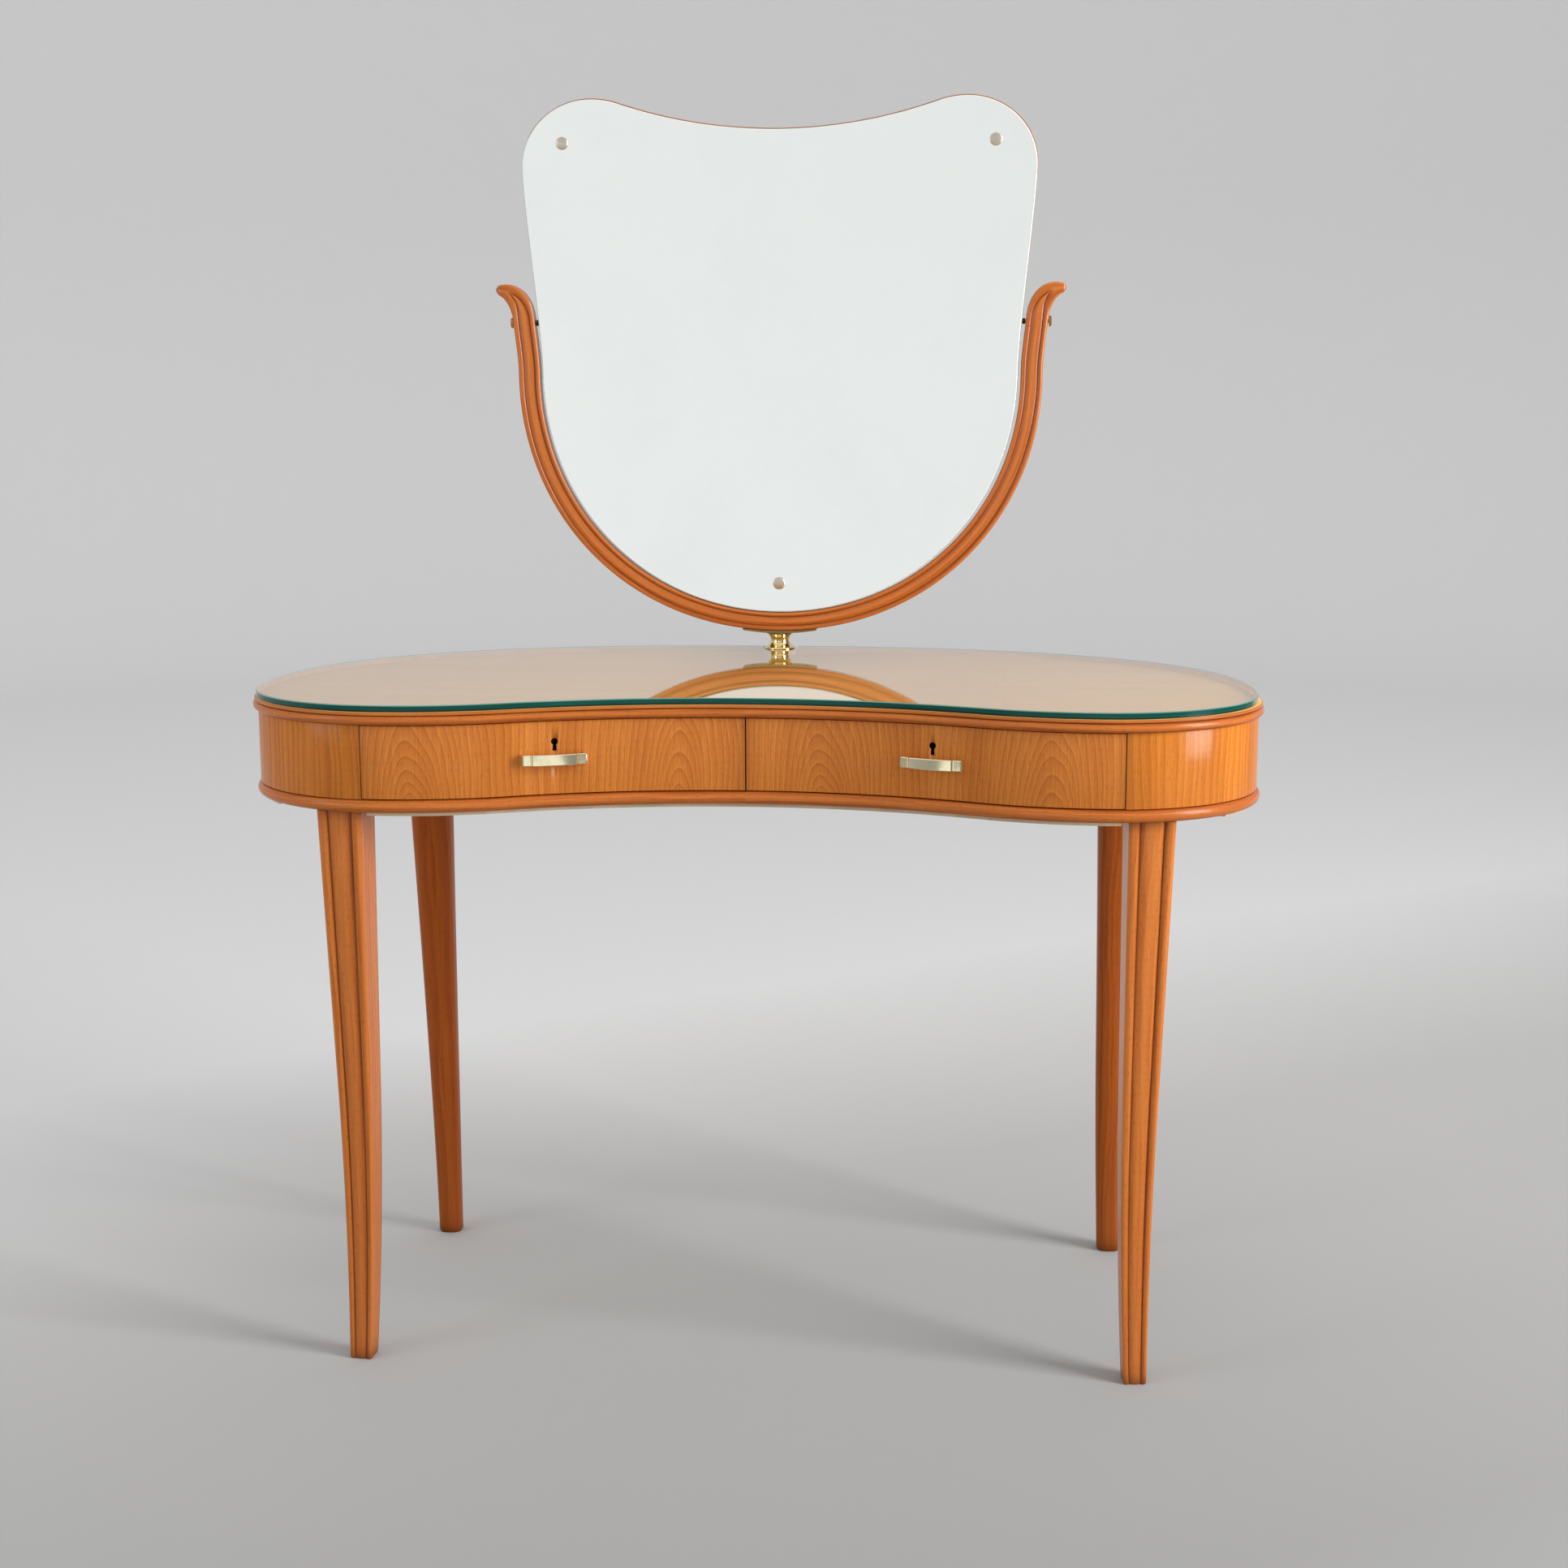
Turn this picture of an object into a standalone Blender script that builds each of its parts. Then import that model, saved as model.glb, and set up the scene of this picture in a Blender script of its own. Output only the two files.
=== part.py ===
"""Kidney-shaped dressing table with a glass top, two curved drawers, four sabre legs and a swinging mirror.

Metres, +Z up, front towards -Y. The origin is on the floor, in the middle of the table's width and depth.
"""

import math

import bmesh
import bpy
from mathutils import Matrix, Vector

# Plan of the top's moulding: two rounded ends, a concave front and a full convex back.
HALF_WIDTH = 0.5500
END_Y = -0.107
BACK_DEPTH = 0.369
BACK_POWER = 2.35
LOBE_X = 0.378
LOBE_DEPTH = 0.155
FRONT_RISE = 0.077
HOLLOW_RADIUS = 0.623
LOBE_Y = END_Y - LOBE_DEPTH
BLEND_ANGLE = 2 * math.atan2(FRONT_RISE, LOBE_X)
LOBE_RADIUS = LOBE_X / math.sin(BLEND_ANGLE) - HOLLOW_RADIUS

# Heights of the case.
GAP = 0.0003
UNDERSIDE_Z = 0.608
BASE_Z = 0.612
CASE_FLOOR_Z = 0.6262
CASE_TOP_Z = 0.706
TOP_Z = 0.7196
GLASS_THICKNESS = 0.007
GLASS_INSET = 0.0035
CASE_INSET = 0.0055
PANEL = 0.016
FRONT_THICKNESS = 0.018
BACK_PANEL = 0.010
WALL_X = (0.382, 0.3975)
PARTITION_HALF = 0.008
END_JOINT_X = 0.3985
BACK_JOINT_X = 0.300

# Drawers.
DRAWER_X = (0.0007, 0.3975)
DRAWER_SIDE = 0.009
DRAWER_BOX_X = (0.010, 0.380)
DRAWER_BACK_Y = 0.115
DRAWER_SIDE_TOP = 0.690
HANDLE_X = 0.2010
HANDLE_Z = 0.6655
HANDLE_LENGTH = 0.070
HANDLE_HEIGHT = 0.0116
HANDLE_STANDOFF = 0.0125
KEYHOLE_X = 0.1995
KEYHOLE_Z = 0.6805

# Legs: x, y at the top, change of x and y to the foot, and the foot's extra flare.
LEG_TOP_Z = BASE_Z - GAP
FRONT_LEG = {"top": (0.4248, -0.2182), "lean": (-0.0105, -0.0098), "flare": (0.0062, -0.013), "from": 0.5}
REAR_LEG = {"top": (0.4103, 0.1080), "lean": (-0.0065, 0.020), "flare": (0.0055, 0.0175), "from": 0.55}
FRONT_TENON = (0.423, -0.209)
REAR_TENON = (0.417, 0.099)
TENON_RADIUS = 0.008
TENON_TOP_Z = 0.680
FRONT_LEG_TURN = math.radians(6)

# Mirror, its yoke and the post that they stand on.
POST_Y = 0.235
PIVOT_Z = 1.119
YOKE_CENTRE_Z = 1.058
YOKE_HALF_WIDTH = 0.3015
YOKE_DROP = 0.2975
YOKE_POWER = 2.06
YOKE_DEPTH = 0.022
YOKE_WIDTH = (0.0215, 0.026)
STRAP_HALF = 0.045
STRAP_LIFT = 0.0006
STRAP_THICKNESS = 0.0028
STRAP_SWELL = 0.0014
STRAP_DEPTH = 0.018
BOARD_THICKNESS = 0.012
BOARD_MARGIN = (0.0003, 0.0015)
MIRROR_THICKNESS = 0.005
MIRROR_FRONT_Y = POST_Y - BOARD_THICKNESS / 2 - GAP - MIRROR_THICKNESS
CAP_PLACES = {"left": (-0.2562, 1.3278), "right": (0.2562, 1.3278), "lower": (0.0, 0.8073)}

WOOD = ((0.56, 0.23, 0.065), 0.35, 0.0)
VENEER = ((0.60, 0.27, 0.085), 0.33, 0.0)
PALE_WOOD = ((0.66, 0.48, 0.28), 0.6, 0.0)
BRASS = ((0.83, 0.66, 0.33), 0.22, 1.0)
STEEL = ((0.55, 0.53, 0.5), 0.35, 1.0)
NICKEL = ((0.72, 0.67, 0.6), 0.3, 1.0)
GLASS = ((0.35, 0.62, 0.52), 0.05, 0.0)
MIRROR = ((0.86, 0.88, 0.87), 0.03, 1.0)


# ---------- scene helpers ----------

def clear_scene():
    for obj in list(bpy.data.objects):
        bpy.data.objects.remove(obj, do_unlink=True)


def new_collection(name):
    collection = bpy.data.collections.new(name)
    bpy.context.scene.collection.children.link(collection)
    return collection


def material(name, look):
    colour, roughness, metallic = look
    made = bpy.data.materials.new(name)
    made.use_nodes = True
    shader = made.node_tree.nodes["Principled BSDF"]
    shader.inputs["Base Color"].default_value = (*colour, 1.0)
    shader.inputs["Roughness"].default_value = roughness
    shader.inputs["Metallic"].default_value = metallic
    return made


def add_mesh(name, mesh_builder, look):
    """An object from a bmesh; a look of None makes a cutter."""
    mesh = bpy.data.meshes.new(name)
    bmesh.ops.recalc_face_normals(mesh_builder, faces=mesh_builder.faces)
    mesh_builder.to_mesh(mesh)
    mesh_builder.free()
    mesh.shade_smooth()
    mesh.set_sharp_from_angle(angle=math.radians(32))
    obj = bpy.data.objects.new(name, mesh)
    if look is None:
        CUTTERS.objects.link(obj)
        obj.hide_render = True
        obj.display_type = "WIRE"
    else:
        PARTS.objects.link(obj)
        mesh.materials.append(material(name, look))
    return obj


def box(name, low, high, look):
    """A cuboid between two corners given in any order."""
    low, high = Vector(low), Vector(high)
    size = Vector([abs(a - b) for a, b in zip(high, low)])
    builder = bmesh.new()
    matrix = Matrix.Translation((low + high) / 2) @ Matrix.Diagonal((*size, 1.0))
    bmesh.ops.create_cube(builder, size=1.0, matrix=matrix)
    return add_mesh(name, builder, look)


def rod(name, start, end, radius, look, segments=20):
    """A cylinder between two points."""
    start, end = Vector(start), Vector(end)
    axis = end - start
    builder = bmesh.new()
    matrix = Matrix.Translation((start + end) / 2) @ axis.to_track_quat("Z", "Y").to_matrix().to_4x4()
    bmesh.ops.create_cone(builder, cap_ends=True, segments=segments, radius1=radius, radius2=radius,
                          depth=axis.length, matrix=matrix)
    return add_mesh(name, builder, look)


def turned(name, profile, look, at, turn=None, steps=24, ring=False):
    """A turned solid: radius and height pairs down its outer side, closed on the axis or, for a ring, on itself."""
    mesh = bpy.data.meshes.new(name)
    edges = [(i, i + 1) for i in range(len(profile) - 1)]
    if ring:
        edges.append((len(profile) - 1, 0))
    mesh.from_pydata([(r, 0, z) for r, z in profile], edges, [])
    mesh.materials.append(material(name, look))
    obj = bpy.data.objects.new(name, mesh)
    PARTS.objects.link(obj)
    screw = obj.modifiers.new("Turn", "SCREW")
    screw.steps = screw.render_steps = steps
    screw.use_merge_vertices = True
    screw.merge_threshold = 0.00005
    screw.use_smooth_shade = True
    obj.location = at
    if turn:
        obj.rotation_euler = turn
    return obj


def loft(name, rings, look):
    """A closed solid through rings that all have the same number of points."""
    builder = bmesh.new()
    rows = [[builder.verts.new(point) for point in ring] for ring in rings]
    count = len(rows[0])
    for lower, upper in zip(rows, rows[1:]):
        for i in range(count):
            j = (i + 1) % count
            builder.faces.new((lower[i], lower[j], upper[j], upper[i]))
    builder.faces.new(reversed(rows[0]))
    builder.faces.new(rows[-1])
    return add_mesh(name, builder, look)


def plate(name, outline, thickness, look, at=(0, 0, 0), turn=(0, 0, 0)):
    """A flat outline extruded to a thickness about its own plane, from a filled 2D curve."""
    curve = bpy.data.curves.new(name, "CURVE")
    curve.dimensions = "2D"
    curve.fill_mode = "BOTH"
    curve.extrude = thickness / 2
    spline = curve.splines.new("POLY")
    spline.points.add(len(outline) - 1)
    for point, (x, y) in zip(spline.points, outline):
        point.co = (x, y, 0, 1)
    spline.use_cyclic_u = True
    source = bpy.data.objects.new(name + "_curve", curve)
    PARTS.objects.link(source)
    source.location = at
    source.rotation_euler = turn
    bpy.context.view_layer.update()
    mesh = bpy.data.meshes.new_from_object(source.evaluated_get(bpy.context.evaluated_depsgraph_get()))
    mesh.transform(source.matrix_world)
    bpy.data.objects.remove(source, do_unlink=True)
    builder = bmesh.new()
    builder.from_mesh(mesh)
    bpy.data.meshes.remove(mesh)
    bmesh.ops.remove_doubles(builder, verts=builder.verts, dist=0.00001)
    return add_mesh(name, builder, look)


def cut(obj, cutter):
    """Takes the cutter out of the object."""
    hole = obj.modifiers.new("Cut " + cutter.name, "BOOLEAN")
    hole.operation = "DIFFERENCE"
    hole.object = cutter


# ---------- outlines ----------

def steps(first, last, count):
    return [first + (last - first) * i / count for i in range(count + 1)]


def front_y(x, inset):
    """The front curve at x, moved into the table by inset."""
    x = abs(x)
    if x <= (HOLLOW_RADIUS + inset) * math.sin(BLEND_ANGLE):
        middle_y = LOBE_Y + FRONT_RISE - HOLLOW_RADIUS
        return middle_y + math.sqrt((HOLLOW_RADIUS + inset) ** 2 - x ** 2)
    if x <= LOBE_X:
        return LOBE_Y + LOBE_RADIUS - math.sqrt((LOBE_RADIUS - inset) ** 2 - (x - LOBE_X) ** 2)
    across = (x - LOBE_X) / (HALF_WIDTH - LOBE_X - inset)
    return END_Y - (LOBE_DEPTH - inset) * math.sqrt(1 - across ** 2)


def back_y(x, inset):
    """The back curve at x, moved into the table by inset."""
    across = abs(x) / (HALF_WIDTH - inset)
    return END_Y + (BACK_DEPTH - inset) * (1 - across ** BACK_POWER) ** (1 / BACK_POWER)


def end_curve(inset, first=0.0, last=math.pi / 2, lobe_steps=9, back_steps=15):
    """The right end from the front lobe round to the back: first and last are angles on its two stretches."""
    points = []
    for angle in steps(first, math.pi / 2, lobe_steps):
        points.append((LOBE_X + (HALF_WIDTH - LOBE_X - inset) * math.sin(angle),
                       END_Y - (LOBE_DEPTH - inset) * math.cos(angle)))
    for angle in steps(0.0, last, back_steps)[1:]:
        points.append(((HALF_WIDTH - inset) * max(math.cos(angle), 0.0) ** (2 / BACK_POWER),
                       END_Y + (BACK_DEPTH - inset) * math.sin(angle) ** (2 / BACK_POWER)))
    return points


def kidney(inset):
    """The whole outline, anticlockwise seen from above, from the middle of the front."""
    front = [(x, front_y(x, inset)) for x in steps(0.0, LOBE_X, 14)[:-1]]
    right = front + end_curve(inset)
    left = [(-x, y) for x, y in reversed(right[1:-1])]
    return right + left


def at_height(outline, z):
    return [Vector((x, y, z)) for x, y in outline]


def strip_between(x_low, x_high, near_inset, far_inset, curve, count=14):
    """A curved strip in plan between two insets of one curve."""
    near = [(x, curve(x, near_inset)) for x in steps(x_low, x_high, count)]
    far = [(x, curve(x, far_inset)) for x in steps(x_high, x_low, count)]
    return near + far


def mirrored(outline, side):
    return [(side * x, y) for x, y in outline]


def case_plate(name, outline, low, high, look):
    return plate(name, outline, high - low, look, at=(0, 0, (low + high) / 2))


# ---------- case ----------

def half_round(radius, middle_z, edge_inset, count=4):
    """Rings of a half-round moulding, from its bottom to its top."""
    rings = []
    for angle in steps(-math.pi / 2, math.pi / 2, count):
        inset = edge_inset + radius * (1 - math.cos(angle))
        rings.append(at_height(kidney(inset), middle_z + radius * math.sin(angle)))
    return rings


def make_table_top():
    moulding_radius = 0.005
    rings = half_round(moulding_radius, CASE_TOP_Z + moulding_radius, 0.0)
    fillet_z = CASE_TOP_Z + 2 * moulding_radius
    rings += [at_height(kidney(inset), z) for inset, z in ((0.0022, fillet_z), (0.0018, TOP_Z - 0.0008), (0.0026, TOP_Z))]
    top = loft("table_top", rings, WOOD)
    stud_radius = 0.0047
    cut(top, rod("top_stud_hole", (0, POST_Y, CASE_TOP_Z - 0.01), (0, POST_Y, TOP_Z + 0.01), stud_radius, None))
    for side, word in ((-1, "left"), (1, "right")):
        x, y, turn = lock_place(side)
        mortise = box(word + "_bolt_mortise", (-0.0075, -0.003, -0.01), (0.0075, 0.003, 0.007), None)
        mortise.location = (x, y, CASE_TOP_Z)
        mortise.rotation_euler = (0, 0, turn)
        cut(top, mortise)
    return top


def make_glass_top():
    """Loose plate glass with a small bevel, notched round the post."""
    bevel = 0.0012
    low = TOP_Z + GAP
    high = low + GLASS_THICKNESS
    rings = [at_height(kidney(GLASS_INSET + extra), z)
             for extra, z in ((bevel, low), (0, low + bevel), (0, high - bevel), (bevel, high))]
    glass = loft("glass_top", rings, GLASS)
    notch_radius = 0.020
    notch = rod("post_notch", (0, POST_Y, low - 0.01), (0, POST_Y, high + 0.01), notch_radius, None, segments=32)
    cut(glass, notch)
    cut(glass, box("post_notch_mouth", (-notch_radius, POST_Y, low - 0.01),
                   (notch_radius, POST_Y + 0.05, high + 0.01), None))


def make_base_board():
    radius = (CASE_FLOOR_Z - BASE_Z) / 2
    board = loft("base_board", half_round(radius, BASE_Z + radius, 0.002), WOOD)
    for side, word in ((-1, "left"), (1, "right")):
        for end, (x, y) in (("front", FRONT_TENON), ("rear", REAR_TENON)):
            hole = rod(f"{end}_{word}_base_hole", (side * x, y, BASE_Z - 0.01), (side * x, y, CASE_FLOOR_Z + 0.01),
                       TENON_RADIUS + GAP, None)
            cut(board, hole)


def make_underside_panel():
    """Thin pale board under the base, cut away round the tops of the legs."""
    inset = 0.013
    panel = case_plate("underside_panel", kidney(inset), UNDERSIDE_Z, BASE_Z - GAP, PALE_WOOD)
    for side, word in ((-1, "left"), (1, "right")):
        for end, leg, half in (("front", FRONT_LEG, 0.030), ("rear", REAR_LEG, 0.031)):
            x, y = leg["top"]
            clearance = box(f"{end}_{word}_leg_clearance", (side * (x - half), y - half, UNDERSIDE_Z - 0.01),
                            (side * (x + half + 0.05), y + half, BASE_Z + 0.01), None)
            cut(panel, clearance)


def make_case_panels():
    low, high = CASE_FLOOR_Z + GAP, CASE_TOP_Z - GAP
    inner = CASE_INSET + PANEL
    first = math.asin((END_JOINT_X - LOBE_X) / (HALF_WIDTH - LOBE_X)) + 0.06
    last = math.acos((BACK_JOINT_X / HALF_WIDTH) ** (BACK_POWER / 2)) - 0.02
    outer_line = [(END_JOINT_X, front_y(END_JOINT_X, CASE_INSET))] + end_curve(CASE_INSET, first, last)
    outer_line.append((BACK_JOINT_X, back_y(BACK_JOINT_X, CASE_INSET)))
    inner_line = [(END_JOINT_X, front_y(END_JOINT_X, inner))] + end_curve(inner, first, last)
    inner_line.append((BACK_JOINT_X, back_y(BACK_JOINT_X, inner)))
    outline = outer_line + inner_line[::-1]
    for side, word in ((-1, "left"), (1, "right")):
        case_plate(word + "_end_panel", mirrored(outline, side), low, high, VENEER)
        wall_back = back_y(WALL_X[1], inner) - 0.0015
        box(word + "_side_wall", (side * WALL_X[0], front_y(WALL_X[0], CASE_INSET + FRONT_THICKNESS) + 0.002, low),
            (side * WALL_X[1], wall_back, high), PALE_WOOD)
        box(word + "_kicker", (side * 0.185, -0.155, DRAWER_SIDE_TOP + 0.003), (side * 0.215, 0.140, high), PALE_WOOD)
    half = BACK_JOINT_X - 0.0005
    case_plate("back_panel", strip_between(-half, half, CASE_INSET, CASE_INSET + BACK_PANEL, back_y, 24),
               low, high, VENEER)
    box("centre_partition", (-PARTITION_HALF, front_y(0, CASE_INSET + FRONT_THICKNESS) + 0.002, low),
        (PARTITION_HALF, POST_Y - 0.015, high), PALE_WOOD)


# ---------- legs ----------

def reeded_section():
    """Unit square section whose front is a wide reed between two narrow ones."""
    groove_x, groove_depth = 0.262, 0.065
    points = []
    for low, high, count in ((-0.5, -groove_x, 2), (-groove_x, groove_x, 4), (groove_x, 0.5, 2)):
        for share in steps(-1.0, 1.0, count):
            x = (low + high) / 2 + (high - low) / 2 * share
            point = (x, -0.5 + groove_depth * abs(share) ** 2.4)
            if not points or points[-1] != point:
                points.append(point)
    return points + [(0.5, 0.0), (0.5, 0.44), (0.44, 0.5), (0.0, 0.5), (-0.44, 0.5), (-0.5, 0.44), (-0.5, 0.0)]


def rounded_section(count=20, power=2.7):
    """Unit square section with large round corners."""
    points = []
    for i in range(count):
        angle = 2 * math.pi * (i + 0.5) / count - math.pi / 2
        c, s = math.cos(angle), math.sin(angle)
        points.append((0.5 * math.copysign(abs(c) ** (2 / power), c), 0.5 * math.copysign(abs(s) ** (2 / power), s)))
    return points


def front_leg_width(z):
    return 0.0245 + 0.0247 * (z / LEG_TOP_Z) ** 0.92


def rear_leg_width(z):
    return 0.0283 + 0.0245 * (z / LEG_TOP_Z) ** 1.35


def leg_centre(leg, z):
    """The leg's middle at a height: a lean from the top and a flare at the foot."""
    down = 1 - z / LEG_TOP_Z
    flare = max(0.0, (down - leg["from"]) / (1 - leg["from"])) ** 2
    return [leg["top"][i] + leg["lean"][i] * down + leg["flare"][i] * flare for i in (0, 1)]


def make_leg(name, side, leg, tenon, section, width, turn):
    rings = []
    angle = side * turn
    for z in [0.0] + [0.004] + steps(0.06, LEG_TOP_Z, 8):
        x, y = leg_centre(leg, z)
        size = width(z) * (0.93 if z == 0.0 else 1.0)
        ring = []
        for u, v in section:
            ring.append(Vector((side * x + size * (u * math.cos(angle) - v * math.sin(angle)),
                                y + size * (u * math.sin(angle) + v * math.cos(angle)), z)))
        rings.append(ring)
    for z in (LEG_TOP_Z, TENON_TOP_Z):
        ring = []
        for u, v in section:
            reach = TENON_RADIUS / math.hypot(u, v)
            ring.append(Vector((side * tenon[0] + reach * u, tenon[1] + reach * v, z)))
        rings.append(ring)
    loft(name, rings, WOOD)


def make_legs():
    for side, word in ((-1, "left"), (1, "right")):
        make_leg(f"front_{word}_leg", side, FRONT_LEG, FRONT_TENON, reeded_section(), front_leg_width, FRONT_LEG_TURN)
        make_leg(f"rear_{word}_leg", side, REAR_LEG, REAR_TENON, rounded_section(), rear_leg_width, 0.0)
        for end, (x, y) in (("front", FRONT_TENON), ("rear", REAR_TENON)):
            half = 0.016
            block = box(f"{end}_{word}_leg_block", (side * (x - half), y - half, CASE_FLOOR_Z + GAP),
                        (side * (x + half), y + half, CASE_TOP_Z - GAP), PALE_WOOD)
            cut(block, rod(f"{end}_{word}_block_hole", (side * x, y, BASE_Z), (side * x, y, TENON_TOP_Z + GAP * 2),
                           TENON_RADIUS + GAP, None))


# ---------- drawers ----------

def front_turn(x):
    """The front curve's angle in plan at x."""
    step = 0.001
    return math.atan2(front_y(x + step, CASE_INSET) - front_y(x - step, CASE_INSET), 2 * step)


def lock_place(side):
    """The lock's middle on a drawer front's inner face, and its angle."""
    turn = side * front_turn(KEYHOLE_X)
    lock_half_depth = 0.005
    y = front_y(KEYHOLE_X, CASE_INSET) + (FRONT_THICKNESS + 0.0010 + lock_half_depth) / math.cos(turn)
    return side * KEYHOLE_X, y, turn


def placed(obj, x, y, z, turn):
    obj.location = (x, y, z)
    obj.rotation_euler = (0, 0, turn)
    return obj


def make_drawer_front(side, word):
    low, high = CASE_FLOOR_Z + 0.0009, CASE_TOP_Z - 0.0009
    outline = strip_between(*DRAWER_X, CASE_INSET, CASE_INSET + FRONT_THICKNESS, front_y, 16)
    front = case_plate(word + "_drawer_front", mirrored(outline, side), low, high, VENEER)
    y = front_y(KEYHOLE_X, CASE_INSET)
    x = side * KEYHOLE_X
    round_hole = rod(word + "_keyhole_round", (x, y - 0.02, KEYHOLE_Z + 0.003), (x, y + 0.04, KEYHOLE_Z + 0.003),
                     0.0031, None, segments=16)
    slot = box(word + "_keyhole_slot", (x - 0.0014, y - 0.02, KEYHOLE_Z - 0.0065),
               (x + 0.0014, y + 0.04, KEYHOLE_Z + 0.002), None)
    cut(front, round_hole)
    cut(front, slot)
    return front


def handle_outline():
    """Plan of the bent strip: two feet, two flat tabs, and a middle that bows forward."""
    half = HANDLE_LENGTH / 2
    strip = 0.0028
    foot = 0.0045
    tab = 0.0125
    tab_y = -HANDLE_STANDOFF + 0.0012
    outer = [(-half, 0.0), (-half, tab_y), (-half + tab, tab_y)]
    bow_half = half - tab - 0.0014
    outer += [(x, -HANDLE_STANDOFF - 0.0012 * (1 - (x / bow_half) ** 2)) for x in steps(-bow_half, 0, 5)]
    outer += [(-x, y) for x, y in reversed(outer[:-1])]
    inner = [(half - foot, 0.0), (half - foot, tab_y + strip), (half - tab - 0.0008, tab_y + strip)]
    inner += [(x, y + strip) for x, y in reversed(outer[3:-3])]
    inner += [(-half + tab + 0.0008, tab_y + strip), (-half + foot, tab_y + strip), (-half + foot, 0.0)]
    return outer + inner


def make_handle(side, word, front):
    turn = side * front_turn(HANDLE_X)
    x, y = side * HANDLE_X, front_y(HANDLE_X, CASE_INSET)
    lift = 0.0013
    handle = loft(word + "_drawer_handle", [at_height(handle_outline(), half * HANDLE_HEIGHT / 2) for half in (-1, 1)],
                  BRASS)
    placed(handle, x + lift * math.sin(turn), y - lift * math.cos(turn), HANDLE_Z, turn)
    foot_x = HANDLE_LENGTH / 2 - 0.00225
    for end, u in (("inner", -side * foot_x), ("outer", side * foot_x)):
        bore = rod(f"{word}_{end}_screw_bore", (u, -0.0077, 0), (u, 0.030, 0), 0.0015, None, segments=12)
        placed(bore, x, y, HANDLE_Z, turn)
        cut(handle, bore)
        cut(front, bore)
        shank, head, tip = 0.0012, 0.0036, -0.0070
        seat = FRONT_THICKNESS + 0.0012
        profile = [(0, seat + 0.002), (head * 0.8, seat + 0.002), (head, seat + 0.0012), (head, seat),
                   (shank, seat), (shank, tip), (0, tip)]
        screw = turned(f"{word}_{end}_handle_screw", profile, STEEL, (0, 0, 0), steps=12)
        local = Matrix.Translation((x, y, HANDLE_Z)) @ Matrix.Rotation(turn, 4, "Z")
        screw.matrix_world = local @ Matrix.Translation((u, 0, 0)) @ Matrix.Rotation(-math.pi / 2, 4, "X")


def make_lock(side, word):
    """An open-topped brass case on the front's inner face, with a bolt that slides up out of it."""
    x, y, turn = lock_place(side)
    case_half, case_low, case_high = 0.019, 0.662, 0.7000
    case = box(word + "_lock_case", (-case_half, -0.005, case_low), (case_half, 0.005, case_high), BRASS)
    placed(case, x, y, 0, turn)
    pocket = box(word + "_lock_pocket", (-0.0072, -0.0027, 0.6830), (0.0072, 0.0027, case_high + 0.01), None)
    cut(case, placed(pocket, x, y, 0, turn))
    key_hole = rod(word + "_lock_key_hole", (0, -0.01, KEYHOLE_Z - 0.003), (0, 0.0, KEYHOLE_Z - 0.003), 0.0026, None, 12)
    cut(case, placed(key_hole, x, y, 0, turn))
    bolt = box(word + "_lock_bolt", (-0.0068, -0.0023, 0.6835), (0.0068, 0.0023, case_high + 0.0045), BRASS)
    placed(bolt, x, y, 0, turn)


def make_drawer(side, word):
    front = make_drawer_front(side, word)
    make_handle(side, word, front)
    make_lock(side, word)
    floor = CASE_FLOOR_Z + GAP
    inner_x, outer_x = DRAWER_BOX_X
    face = CASE_INSET + FRONT_THICKNESS
    for part, low_x, high_x in (("inner", inner_x, inner_x + DRAWER_SIDE), ("outer", outer_x - DRAWER_SIDE, outer_x)):
        start = max(front_y(low_x, face), front_y(high_x, face)) + GAP * 2
        box(f"{word}_drawer_{part}_side", (side * low_x, start, floor), (side * high_x, DRAWER_BACK_Y, DRAWER_SIDE_TOP),
            PALE_WOOD)
    low_x, high_x = inner_x + DRAWER_SIDE + GAP, outer_x - DRAWER_SIDE - GAP
    bottom_low, bottom_high = 0.632, 0.636
    curve = [(x, front_y(x, face) + GAP * 2) for x in steps(low_x, high_x, 14)]
    outline = curve + [(high_x, DRAWER_BACK_Y), (low_x, DRAWER_BACK_Y)]
    case_plate(word + "_drawer_bottom", mirrored(outline, side), bottom_low, bottom_high, PALE_WOOD)
    box(word + "_drawer_back", (side * low_x, DRAWER_BACK_Y - 0.011, bottom_high + GAP),
        (side * high_x, DRAWER_BACK_Y, DRAWER_SIDE_TOP - 0.005), PALE_WOOD)


# ---------- post and yoke ----------

def bezier(points, t):
    """A point on a cubic Bezier curve in a plane."""
    weights = ((1 - t) ** 3, 3 * t * (1 - t) ** 2, 3 * t ** 2 * (1 - t), t ** 3)
    return [sum(w * p[i] for w, p in zip(weights, points)) for i in (0, 1)]


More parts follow.
